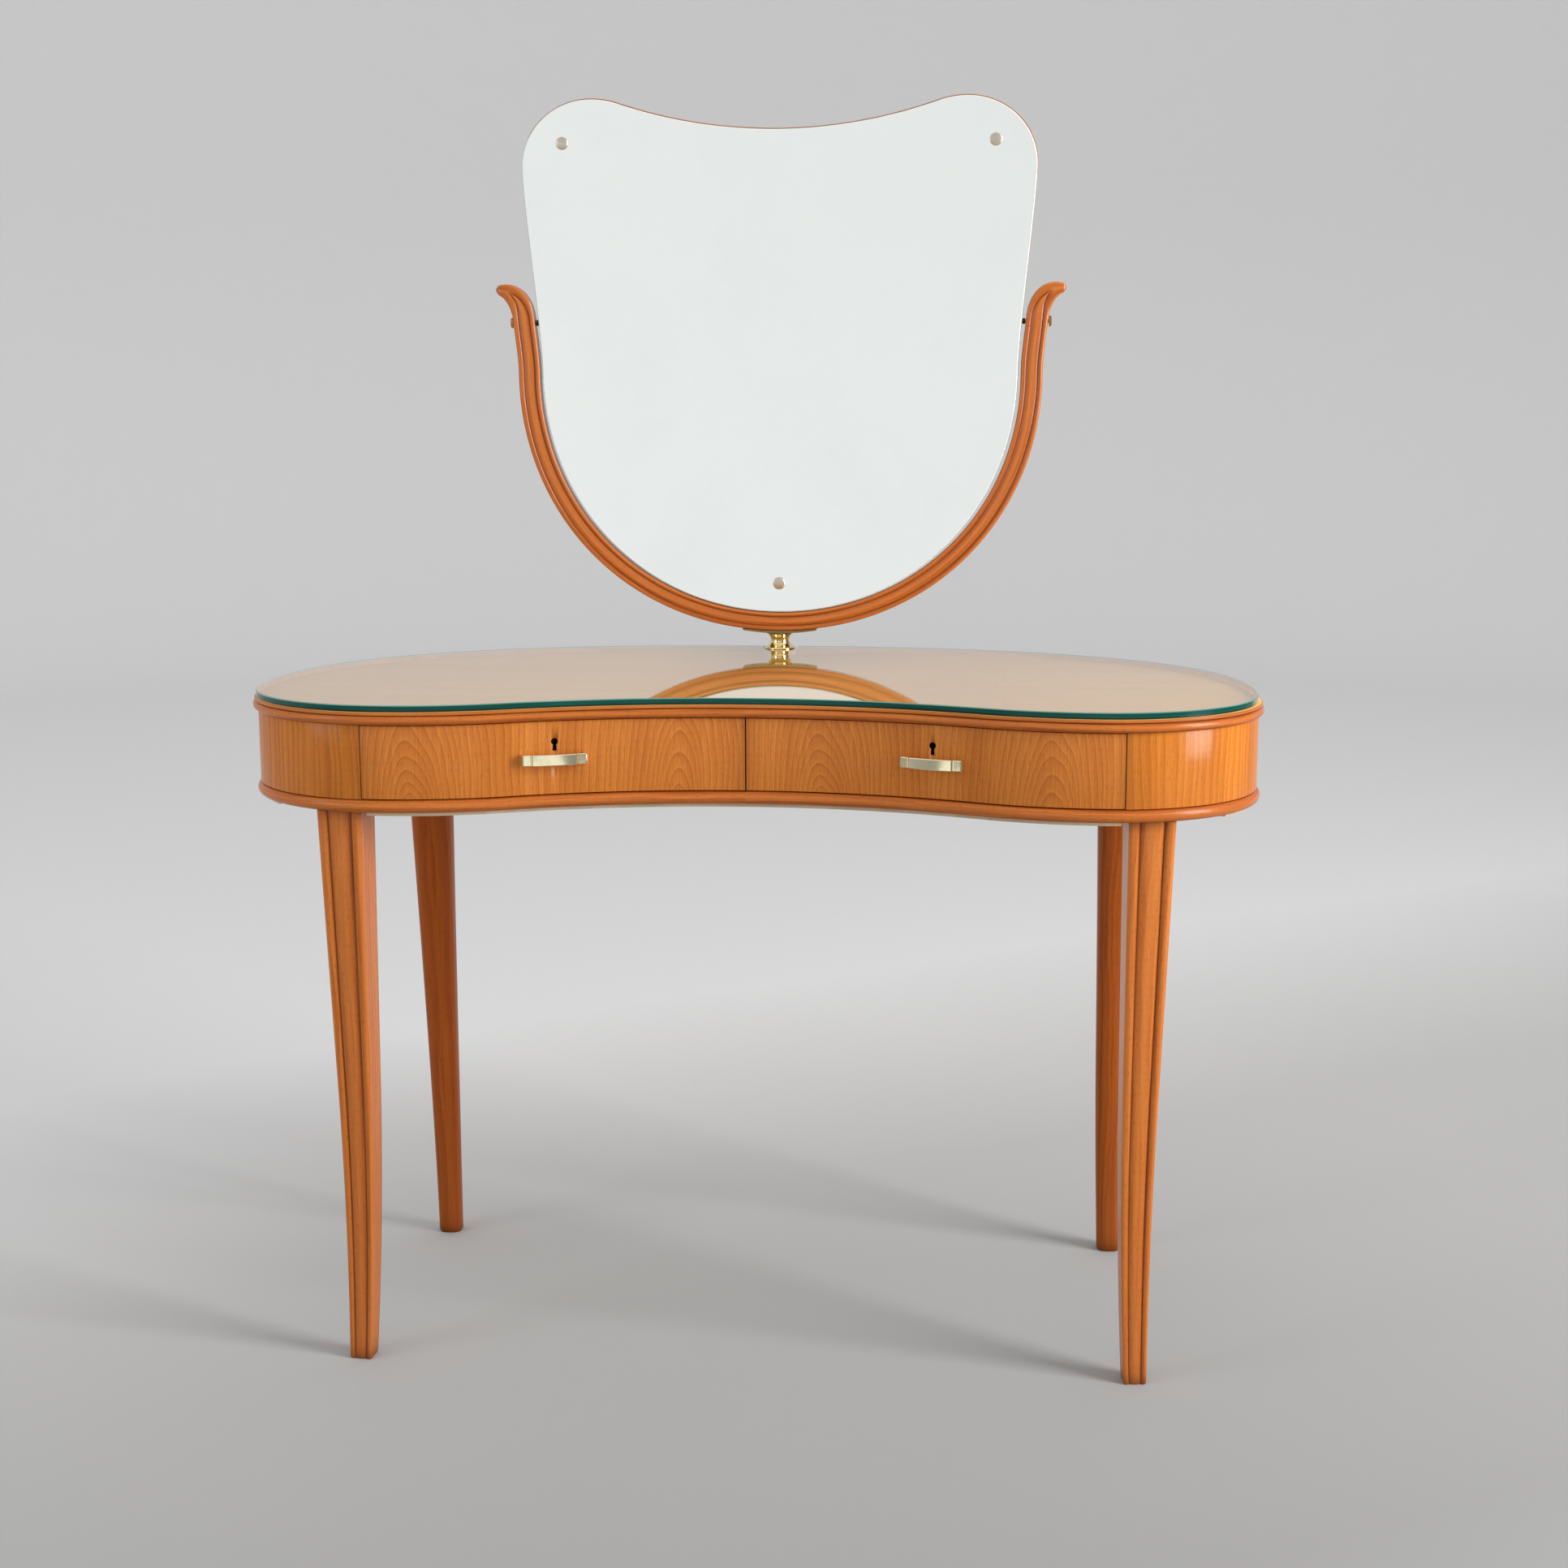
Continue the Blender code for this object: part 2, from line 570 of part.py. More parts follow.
def yoke_stations():
    """Middle points and widths of the right arm in the XZ plane, from the bottom to the curled tip."""
    stations = []
    low_width, high_width = YOKE_WIDTH
    for angle in steps(0.0, math.pi / 2, 13):
        x = YOKE_HALF_WIDTH * math.sin(angle) ** (2 / YOKE_POWER)
        z = YOKE_CENTRE_Z - YOKE_DROP * max(math.cos(angle), 0.0) ** (2 / YOKE_POWER)
        stations.append((x, z, low_width + (high_width - low_width) * math.sin(angle)))
    curl = ((0.3070, 1.1220), (0.3085, 1.1390), (0.3165, 1.1592), (0.3412, 1.1600))
    for share in (0.35, 0.7):
        stations.append((YOKE_HALF_WIDTH + (curl[0][0] - YOKE_HALF_WIDTH) * share,
                         YOKE_CENTRE_Z + (curl[0][1] - YOKE_CENTRE_Z) * share, high_width))
    for t in (0.0, 0.2, 0.38, 0.54, 0.68, 0.8, 0.89, 0.95, 1.0):
        x, z = bezier(curl, t)
        stations.append((x, z, high_width * max(1 - t ** 3.2, 0.06) ** 0.8))
    return stations


def fluted_section():
    """Unit section of the yoke: u runs outwards across it, v from its front to its back."""
    points = []
    for low, high, count in ((-0.5, -0.24, 2), (-0.24, 0.24, 4), (0.24, 0.5, 2)):
        for share in steps(-1.0, 1.0, count):
            point = ((low + high) / 2 + (high - low) / 2 * share, -0.5 + 0.075 * abs(share) ** 2.2)
            if not points or points[-1] != point:
                points.append(point)
    return points + [(0.5, 0.1), (0.46, 0.42), (0.36, 0.5), (-0.36, 0.5), (-0.46, 0.42), (-0.5, 0.1)]


def make_yoke():
    right = yoke_stations()
    path = [(-x, z, w) for x, z, w in reversed(right[1:])] + right
    rings = []
    for i, (x, z, width) in enumerate(path):
        before, after = path[max(i - 1, 0)], path[min(i + 1, len(path) - 1)]
        along = Vector((after[0] - before[0], after[1] - before[1])).normalized()
        out = Vector((along.y, -along.x))
        depth = YOKE_DEPTH * (0.4 + 0.6 * width / YOKE_WIDTH[1]) / (0.4 + 0.6 * YOKE_WIDTH[0] / YOKE_WIDTH[1])
        depth = min(depth, YOKE_DEPTH)
        rings.append([Vector((x + out.x * u * width, POST_Y + v * depth, z + out.y * u * width))
                      for u, v in fluted_section()])
    yoke = loft("mirror_yoke", rings, WOOD)
    cut(yoke, rod("yoke_stud_hole", (0, POST_Y, 0.740), (0, POST_Y, 0.7640), 0.0043, None))
    for side, word in ((-1, "left"), (1, "right")):
        cut(yoke, rod(word + "_pivot_hole", (side * 0.28, POST_Y, PIVOT_Z), (side * 0.34, POST_Y, PIVOT_Z),
                      0.0030, None, segments=16))
        x = side * 0.033
        cut(yoke, rod(word + "_strap_screw_hole", (x, POST_Y, 0.740), (x, POST_Y, 0.7640), 0.0019, None, segments=12))


def yoke_underside(x, drop):
    """Height of the yoke's outer face at x, lowered by drop."""
    reach = YOKE_DROP + YOKE_WIDTH[0] / 2 + drop
    half = YOKE_HALF_WIDTH + YOKE_WIDTH[1] / 2 + drop
    return YOKE_CENTRE_Z - reach * (1 - (abs(x) / half) ** YOKE_POWER) ** (1 / YOKE_POWER)


def strap_underside(x):
    """The strap follows the yoke and swells towards its middle."""
    return yoke_underside(x, STRAP_LIFT + STRAP_THICKNESS) - STRAP_SWELL * (1 - (x / STRAP_HALF) ** 2)


def make_strap():
    upper = [(x, yoke_underside(x, STRAP_LIFT)) for x in steps(-STRAP_HALF, STRAP_HALF, 16)]
    lower = [(x, strap_underside(x)) for x in steps(STRAP_HALF, -STRAP_HALF, 16)]
    strap = plate("yoke_strap", upper + lower, STRAP_DEPTH, BRASS, at=(0, POST_Y, 0), turn=(math.pi / 2, 0, 0))
    cut(strap, rod("strap_stud_hole", (0, POST_Y, 0.740), (0, POST_Y, 0.7600), 0.0043, None))
    for side, word in ((-1, "left"), (1, "right")):
        x = side * 0.033
        cut(strap, rod(word + "_strap_hole", (x, POST_Y, 0.740), (x, POST_Y, 0.7600), 0.0019, None, segments=12))
        low = strap_underside(x) - 0.0008
        profile = [(0, 0.7600), (0.0015, 0.7600), (0.0015, low), (0.0032, low), (0.0032, low - 0.0006),
                   (0.0022, low - 0.0017), (0, low - 0.0020)]
        turned(word + "_strap_screw", profile, BRASS, (x, POST_Y, 0), steps=14)


def make_post():
    """Turned spool between the top and the strap, with the stud that the mirror turns on."""
    foot = TOP_Z + GAP
    head = strap_underside(0) - 0.0006
    height = head - foot
    profile = []
    for share in steps(1.0, 0.0, 10):
        radius = 0.0121 + 0.0034 * max(0.0, (share - 0.5) / 0.5) ** 2 + 0.0054 * max(0.0, (0.45 - share) / 0.45) ** 2
        profile.append((radius, foot + height * share))
    bore = 0.0043
    turned("mirror_post", [(bore, head)] + profile + [(bore, foot)], BRASS, (0, POST_Y, 0), steps=24, ring=True)
    nut_top = CASE_TOP_Z - 0.0006
    rod("swivel_stud", (0, POST_Y, nut_top - 0.009), (0, POST_Y, 0.7635), 0.0040, STEEL, segments=24)
    nut = rod("swivel_nut", (0, POST_Y, nut_top - 0.0065), (0, POST_Y, nut_top), 0.0074, STEEL, segments=6)
    cut(nut, rod("nut_bore", (0, POST_Y, nut_top - 0.02), (0, POST_Y, nut_top + 0.01), 0.0043, None, segments=24))


# ---------- mirror ----------

def mirror_outline(margin):
    """Shield outline in the XZ plane, grown by margin, from the middle of its top round by the right."""
    shoulder_x, shoulder_z, dip_z = 0.2225, 1.3780, 1.3420
    widest_x, widest_z = 0.3050, 1.3000
    lower_x, lower_z, foot_z = 0.2850, 1.0600, 0.7725
    lower_power = 2.05
    dip_radius = 0.600
    blend = 2 * math.atan2(shoulder_z - dip_z, shoulder_x)
    round_radius = shoulder_x / math.sin(blend) - dip_radius
    points = []
    for angle in steps(0.0, blend, 7):
        radius = dip_radius - margin
        points.append((radius * math.sin(angle), dip_z + dip_radius - radius * math.cos(angle)))
    for angle in steps(blend, 0.0, 4)[1:]:
        radius = round_radius + margin
        points.append((shoulder_x - radius * math.sin(angle), shoulder_z - round_radius + radius * math.cos(angle)))
    for angle in steps(0.0, math.pi / 2, 9)[1:]:
        points.append((shoulder_x + (widest_x - shoulder_x + margin) * math.sin(angle),
                       widest_z + (shoulder_z - widest_z + margin) * math.cos(angle)))
    side = ((widest_x, widest_z), (widest_x, 1.2550), (0.2862, 1.1200), (lower_x, lower_z))
    for t in steps(0.0, 1.0, 8)[1:]:
        x, z = bezier(side, t)
        points.append((x + margin, z))
    for angle in steps(0.0, math.pi / 2, 14)[1:]:
        points.append(((lower_x + margin) * max(math.cos(angle), 0.0) ** (2 / lower_power),
                       lower_z - (lower_z - foot_z + margin) * math.sin(angle) ** (2 / lower_power)))
    points[-1] = (0.0, points[-1][1])
    return points + [(-x, z) for x, z in reversed(points[1:-1])]


def board_outline():
    """The board stands a little proud of the glass along its top and is all but flush with it below."""
    outline = []
    for (x, z), (proud_x, proud_z) in zip(mirror_outline(BOARD_MARGIN[0]), mirror_outline(BOARD_MARGIN[1])):
        share = min(max((z - 1.29) / 0.05, 0.0), 1.0)
        outline.append((x + (proud_x - x) * share, z + (proud_z - z) * share))
    return outline


def upright_plate(name, outline, thickness, y, look):
    """A plate that stands across the table, its middle plane at y."""
    return plate(name, outline, thickness, look, at=(0, y, 0), turn=(math.pi / 2, 0, 0))


def make_mirror():
    board = upright_plate("mirror_backboard", board_outline(), BOARD_THICKNESS, POST_Y, WOOD)
    glass = upright_plate("mirror_glass", mirror_outline(0.0), MIRROR_THICKNESS, MIRROR_FRONT_Y + MIRROR_THICKNESS / 2,
                          MIRROR)
    for word, (x, z) in CAP_PLACES.items():
        hole = rod(word + "_cap_hole", (x, MIRROR_FRONT_Y - 0.01, z), (x, POST_Y + 0.002, z), 0.0023, None, segments=12)
        cut(board, hole)
        cut(glass, hole)
        face = MIRROR_FRONT_Y - GAP
        profile = [(0, face - POST_Y - 0.0026), (0.0060, face - POST_Y - 0.0023), (0.0075, face - POST_Y - 0.0012),
                   (0.0075, face - POST_Y), (0.0020, face - POST_Y), (0.0020, 0.0010), (0, 0.0010)]
        profile = [(r, -v) for r, v in profile]
        turned(word + "_mirror_cap", profile, NICKEL, (x, POST_Y, z), turn=(math.pi / 2, 0, 0), steps=20)
    make_pivots(board)


def board_edge_x():
    """Half width of the mirror board at the pivots."""
    outline = [p for p in board_outline() if p[0] > 0.2]
    for (x1, z1), (x2, z2) in zip(outline, outline[1:]):
        if z2 <= PIVOT_Z <= z1:
            return x1 + (x2 - x1) * (z1 - PIVOT_Z) / (z1 - z2)
    return outline[0][0]


def make_pivots(board):
    """A bolt through each arm turns in a brass bush let into the mirror board's edge."""
    edge = board_edge_x()
    arm_inner, arm_outer = 0.2933, 0.3210
    for side, word in ((-1, "left"), (1, "right")):
        at = (side * edge, POST_Y, PIVOT_Z)
        turn = (0, side * math.pi / 2, 0)
        bush_radius, bush_bore, bush_length = 0.0044, 0.0027, 0.016
        cut(board, rod(word + "_bush_hole", (side * (edge - bush_length - GAP), POST_Y, PIVOT_Z),
                       (side * (edge + 0.02), POST_Y, PIVOT_Z), bush_radius + GAP, None, segments=20))
        lip = -0.0006
        floor = -bush_length + 0.0015
        bush = [(0, floor), (bush_bore, floor), (bush_bore, lip), (bush_radius, lip), (bush_radius, -bush_length),
                (0, -bush_length)]
        turned(word + "_pivot_bush", bush, BRASS, at, turn, steps=20)
        inner, outer = edge + 0.0009, arm_inner - 0.0004
        spacer_radius = 0.0035
        spacer = [(bush_bore, outer - edge), (spacer_radius, outer - edge), (spacer_radius, inner - edge),
                  (bush_bore, inner - edge)]
        turned(word + "_pivot_spacer", spacer, STEEL, at, turn, steps=20, ring=True)
        shank, head, seat = 0.0024, 0.0062, arm_outer - edge
        bolt = [(0, seat + 0.0032), (head * 0.8, seat + 0.0031), (head, seat + 0.0025), (head, seat), (shank, seat),
                (shank, -0.0130), (0, -0.0130)]
        turned(word + "_pivot_bolt", bolt, BRASS, at, turn, steps=20)


clear_scene()
PARTS = new_collection("kidney_dressing_table")
CUTTERS = new_collection("cutters")
make_table_top()
make_glass_top()
make_base_board()
make_underside_panel()
make_case_panels()
make_legs()
for drawer_side, drawer_word in ((-1, "left"), (1, "right")):
    make_drawer(drawer_side, drawer_word)
make_post()
make_yoke()
make_strap()
make_mirror()
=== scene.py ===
"""Looks for the kidney-shaped dressing table: finer pieces, materials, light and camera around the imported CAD.

Metres, +Z up, front towards -Y, origin on the floor below the middle of the table, as in the CAD.
"""

from functools import partialmethod
from math import acos, asin, atan2, copysign, cos, exp, pi, radians, sin, sqrt

import bmesh
import bpy
from mathutils import Matrix, Vector


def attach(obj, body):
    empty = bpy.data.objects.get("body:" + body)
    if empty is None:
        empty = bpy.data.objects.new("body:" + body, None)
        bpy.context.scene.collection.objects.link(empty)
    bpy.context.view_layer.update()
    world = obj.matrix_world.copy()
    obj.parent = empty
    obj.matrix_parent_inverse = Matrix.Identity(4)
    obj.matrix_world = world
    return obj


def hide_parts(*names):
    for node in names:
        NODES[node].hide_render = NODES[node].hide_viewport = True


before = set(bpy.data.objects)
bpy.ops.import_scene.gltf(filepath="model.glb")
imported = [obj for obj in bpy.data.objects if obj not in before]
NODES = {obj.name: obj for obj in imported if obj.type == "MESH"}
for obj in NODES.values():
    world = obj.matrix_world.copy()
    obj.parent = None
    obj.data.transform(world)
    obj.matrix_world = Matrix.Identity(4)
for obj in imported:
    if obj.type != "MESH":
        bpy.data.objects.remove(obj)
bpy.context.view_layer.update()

# ---- the CAD's driving dimensions ----

HALF_WIDTH = 0.55
END_Y = -0.107
BACK_DEPTH = 0.369
BACK_POWER = 2.35
LOBE_X = 0.378
LOBE_DEPTH = 0.155
FRONT_RISE = 0.077
HOLLOW_RADIUS = 0.623
LOBE_Y = END_Y - LOBE_DEPTH
BLEND_ANGLE = 2 * atan2(FRONT_RISE, LOBE_X)
LOBE_RADIUS = LOBE_X / sin(BLEND_ANGLE) - HOLLOW_RADIUS

GAP = 0.0003
BASE_Z = 0.612
CASE_FLOOR_Z = 0.6262
CASE_TOP_Z = 0.706
TOP_Z = 0.7196
GLASS_LOW_Z = TOP_Z + GAP
GLASS_HIGH_Z = GLASS_LOW_Z + 0.007
GLASS_INSET = 0.0035
CASE_INSET = 0.0055
PANEL = 0.016
FRONT_THICKNESS = 0.018
END_JOINT_X = 0.3985
BACK_JOINT_X = 0.3

DRAWER_X = (0.0007, 0.3975)
HANDLE_X = 0.201
HANDLE_Z = 0.6655
HANDLE_LENGTH = 0.07
HANDLE_HEIGHT = 0.0116
HANDLE_STANDOFF = 0.0125
KEYHOLE_X = 0.1995
KEYHOLE_Z = 0.6805
LOCK_OFFSET = 0.006

LEG_TOP_Z = BASE_Z - GAP
FRONT_LEG = {"top": (0.4248, -0.2182), "lean": (-0.0105, -0.0098), "flare": (0.0062, -0.013), "from": 0.5}
REAR_LEG = {"top": (0.4103, 0.108), "lean": (-0.0065, 0.02), "flare": (0.0055, 0.0175), "from": 0.55}
FRONT_LEG_TURN = radians(6)

POST_Y = 0.235
YOKE_CENTRE_Z = 1.058
YOKE_HALF_WIDTH = 0.3015
YOKE_DROP = 0.2975
YOKE_POWER = 2.06
YOKE_DEPTH = 0.022
YOKE_WIDTH = (0.0215, 0.026)
CURL = ((0.307, 1.122), (0.3085, 1.139), (0.3165, 1.1588), (0.3408, 1.1576))
STRAP_HALF = 0.045
STRAP_LIFT = 0.0006
STRAP_THICKNESS = 0.0023
STRAP_SWELL = 0.0009
STRAP_DEPTH = 0.018
BOARD_THICKNESS = 0.012
BOARD_MARGIN = (0.0003, 0.0015)
MIRROR_THICKNESS = 0.005
MIRROR_FRONT_Y = POST_Y - BOARD_THICKNESS / 2 - GAP - MIRROR_THICKNESS
LOWER_POWER = 2.05
TIP_START = 0.94
CAP_PLACES = {"left": (-0.2562, 1.3278), "right": (0.2562, 1.3278), "lower": (0.0, 0.8073)}

SIDES = ((-1, "left"), (1, "right"))

# Where the drawers' veneer arches would meet below the fronts, and how their rings tighten towards the heart.
ARCH_ROOT_Z = 0.56
HEART_RADIUS = 0.052
HEART_RINGS = 19.0


# ---- outlines, as in the CAD but finer ----

def steps(first, last, count):
    return [first + (last - first) * i / count for i in range(count + 1)]


def front_y(x, inset):
    """The front curve at x, moved into the table by inset."""
    x = abs(x)
    if x <= (HOLLOW_RADIUS + inset) * sin(BLEND_ANGLE):
        return LOBE_Y + FRONT_RISE - HOLLOW_RADIUS + sqrt((HOLLOW_RADIUS + inset) ** 2 - x ** 2)
    if x <= LOBE_X:
        return LOBE_Y + LOBE_RADIUS - sqrt((LOBE_RADIUS - inset) ** 2 - (x - LOBE_X) ** 2)
    across = (x - LOBE_X) / (HALF_WIDTH - LOBE_X - inset)
    return END_Y - (LOBE_DEPTH - inset) * sqrt(max(1 - across ** 2, 0.0))


def back_y(x, inset):
    """The back curve at x, moved into the table by inset."""
    across = min(abs(x) / (HALF_WIDTH - inset), 1.0)
    return END_Y + (BACK_DEPTH - inset) * (1 - across ** BACK_POWER) ** (1 / BACK_POWER)


def end_curve(inset, first=0.0, last=pi / 2, lobe_steps=26, back_steps=60):
    """The right end from the front lobe round to the back."""
    points = []
    for angle in steps(first, pi / 2, lobe_steps):
        points.append((LOBE_X + (HALF_WIDTH - LOBE_X - inset) * sin(angle),
            END_Y - (LOBE_DEPTH - inset) * cos(angle)))
    for angle in steps(0.0, last, back_steps)[1:]:
        points.append(((HALF_WIDTH - inset) * max(cos(angle), 0.0) ** (2 / BACK_POWER),
            END_Y + (BACK_DEPTH - inset) * sin(angle) ** (2 / BACK_POWER)))
    return points


def kidney(inset):
    """The whole outline, anticlockwise seen from above, from the middle of the front."""
    front = [(x, front_y(x, inset)) for x in steps(0.0, LOBE_X, 40)[:-1]]
    right = front + end_curve(inset)
    left = [(-x, y) for x, y in reversed(right[1:-1])]
    return right + left


def lengths(points, closed=False):
    """Running length along a line of points; a closed line gets one more value for its seam."""
    line = [Vector(p) for p in points]
    if closed:
        line.append(line[0])
    run = [0.0]
    for a, b in zip(line, line[1:]):
        run.append(run[-1] + (b - a).length)
    return run


# ---- mesh helpers ----

def new_object(name, data):
    obj = bpy.data.objects.new(name, data)
    bpy.context.scene.collection.objects.link(obj)
    return obj


def finish_mesh(name, bm, looks, angle=35):
    """Turns a bmesh into a shaded object with its materials."""
    mesh = bpy.data.meshes.new(name)
    bmesh.ops.recalc_face_normals(bm, faces=bm.faces)
    bm.to_mesh(mesh)
    bm.free()
    mesh.shade_smooth()
    mesh.set_sharp_from_angle(angle=radians(angle))
    for look in looks:
        mesh.materials.append(look)
    return new_object(name, mesh)


def skin(name, rings, looks, side_uv, cap_uv="xy", angle=35, slot_of=None, wear_and_light_of=None):
    """A closed solid through rings of equal size. side_uv(row, column) gives the grain's place in metres: across it
    and along it; cap_uv names a cap's two axes for it, or is a function. wear_and_light_of(row, column) gives
    darkening and lightening, 0 to 1: dirt and rubbing, with painted shade and painted highlight."""
    bm = bmesh.new()
    grain = bm.loops.layers.uv.new("grain")
    wear = bm.loops.layers.uv.new("wear")
    rows = [[bm.verts.new(point) for point in ring] for ring in rings]
    count = len(rows[0])
    for low in range(len(rows) - 1):
        high = low + 1
        for i in range(count):
            j = (i + 1) % count
            face = bm.faces.new((rows[low][i], rows[low][j], rows[high][j], rows[high][i]))
            for loop, (row, column) in zip(face.loops, ((low, i), (low, i + 1), (high, i + 1), (high, i))):
                loop[grain].uv = side_uv(row, column)
                if wear_and_light_of:
                    loop[wear].uv = wear_and_light_of(row, column % count)
            if slot_of:
                face.material_index = slot_of(low, i)
    for row in (list(reversed(rows[0])), rows[-1]):
        face = bm.faces.new(row)
        for loop in face.loops:
            loop[grain].uv = cap_uv(loop.vert.co) if callable(cap_uv) else getattr(loop.vert.co, cap_uv)
    return finish_mesh(name, bm, looks, angle)


def dress_caps(obj, slot_at):
    """Gives the many-sided end faces of a skin the material slot for their place."""
    for polygon in obj.data.polygons:
        if len(polygon.vertices) > 8:
            polygon.material_index = slot_at(polygon.center)


def spin(bm, profile, segments, closed=False):
    """Faces turned about Z from radius and height pairs; a radius of 0 is a single point."""
    rows = []
    for radius, height in profile:
        if radius <= 0:
            rows.append([bm.verts.new((0, 0, height))] * segments)
            continue
        rows.append([bm.verts.new((radius * cos(2 * pi * k / segments),
            radius * sin(2 * pi * k / segments), height)) for k in range(segments)])
    pairs = list(zip(rows, rows[1:]))
    if closed:
        pairs.append((rows[-1], rows[0]))
    for low, high in pairs:
        for i in range(segments):
            j = (i + 1) % segments
            corners = []
            for vert in (low[i], low[j], high[j], high[i]):
                if vert not in corners:
                    corners.append(vert)
            if len(corners) > 2:
                bm.faces.new(corners)


def turned(name, profile, look, at, axis=(0, 0, 1), segments=64, angle=35):
    """A turned solid from radius and height pairs that start and end on the axis, or a ring if they close."""
    bm = bmesh.new()
    grain = bm.loops.layers.uv.new("grain")
    spin(bm, profile, segments, closed=profile[0][0] > 0)
    for face in bm.faces:
        for loop in face.loops:
            loop[grain].uv = (loop.vert.co.x, loop.vert.co.z)
    turn = Vector((0, 0, 1)).rotation_difference(Vector(axis)).to_matrix().to_4x4()
    bm.transform(Matrix.Translation(at) @ turn)
    return finish_mesh(name, bm, [look], angle)


def cut(obj, *cutters):
    """Cuts the cutters out of the object's own mesh and removes them."""
    for cutter in cutters:
        hole = obj.modifiers.new("Cut " + cutter.name, "BOOLEAN")
        hole.operation = "DIFFERENCE"
        hole.object = cutter
        hole.solver = "EXACT"
        hole.material_mode = "TRANSFER"
    graph = bpy.context.evaluated_depsgraph_get()
    result = bpy.data.meshes.new_from_object(obj.evaluated_get(graph), depsgraph=graph)
    obj.modifiers.clear()
    obj.data = result
    for cutter in cutters:
        bpy.data.objects.remove(cutter, do_unlink=True)


def stand_for(obj, body, slot, *nodes):
    """The piece rides on a body and stands for CAD nodes; its slot argument is not used."""
    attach(obj, body)
    if nodes:
        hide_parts(*nodes)
    return obj


# ---- materials ----

class Tree:
    """Short names for building one material's nodes."""

    def __init__(self, name):
        self.material = bpy.data.materials.new(name)
        self.material.use_nodes = True
        self.nodes = self.material.node_tree.nodes
        self.links = self.material.node_tree.links
        self.shader = self.nodes["Principled BSDF"]

    def put(self, value, socket):
        if isinstance(value, bpy.types.NodeSocket):
            self.links.new(value, socket)
        elif isinstance(value, (tuple, list)) and len(value) == 3 and socket.type == "RGBA":
            socket.default_value = (*value, 1.0)
        else:
            socket.default_value = value

    def give(self, name, value):
        self.put(value, self.shader.inputs[name])

    def end_with(self, shader):
        self.links.new(shader.outputs[0], self.nodes["Material Output"].inputs["Surface"])
        self.nodes.remove(self.shader)

    def math(self, operation, a, b=0.0, clamp=False):
        node = self.node("Math")
        node.operation = operation
        node.use_clamp = clamp
        self.put(a, node.inputs[0])
        self.put(b, node.inputs[1])
        return node.outputs[0]

    add = partialmethod(math, "ADD")
    sub = partialmethod(math, "SUBTRACT")
    mul = partialmethod(math, "MULTIPLY")
    div = partialmethod(math, "DIVIDE")

    def node(self, kind, **values):
        """A new node of a kind, with values or links in its named inputs."""
        node = self.nodes.new("ShaderNode" + kind)
        for name, value in values.items():
            self.put(value, node.inputs[name])
        return node

    def mix(self, share, a, b):
        node = self.node("Mix")
        node.data_type = "RGBA"
        for name, value in (("Factor", share), ("A", a), ("B", b)):
            self.put(value, node.inputs[name])
        return node.outputs["Result"]

    def place(self, vector, scale, shift=(0, 0, 0)):
        return self.node("Mapping", Vector=vector, Scale=scale, Location=shift).outputs["Vector"]

    def noise(self, vector, scale=1.0, detail=2.0, roughness=0.5):
        return self.node("TexNoise", Vector=vector, Scale=scale, Detail=detail, Roughness=roughness).outputs["Fac"]

    def ramp(self, share, stops):
        node = self.node("ValToRGB", Fac=share)
        elements = node.color_ramp.elements
        while len(elements) < len(stops):
            elements.new(0.5)
        for element, (position, colour) in zip(elements, stops):
            element.position = position
            value = colour if isinstance(colour, tuple) else (colour, colour, colour)
            element.color = (*value, 1.0)
        return node.outputs["Color"]

    def between(self, value, low, high):
        """0 below low, 1 above high, and a straight rise between them."""
        return self.parts(self.ramp(value, [(low, 0.0), (high, 1.0)]))[0]

    def bump(self, height, distance):
        return self.node("Bump", Height=height, Distance=distance, Strength=1.0).outputs["Normal"]

    def join(self, x, y, z):
        return self.node("CombineXYZ", X=x, Y=y, Z=z).outputs["Vector"]

    def parts(self, vector):
        return self.node("SeparateXYZ", Vector=vector).outputs

    def uv(self, name):
        node = self.node("UVMap")
        node.uv_map = name
        return node.outputs["UV"]

    def object_place(self):
        return self.node("TexCoord").outputs["Object"]


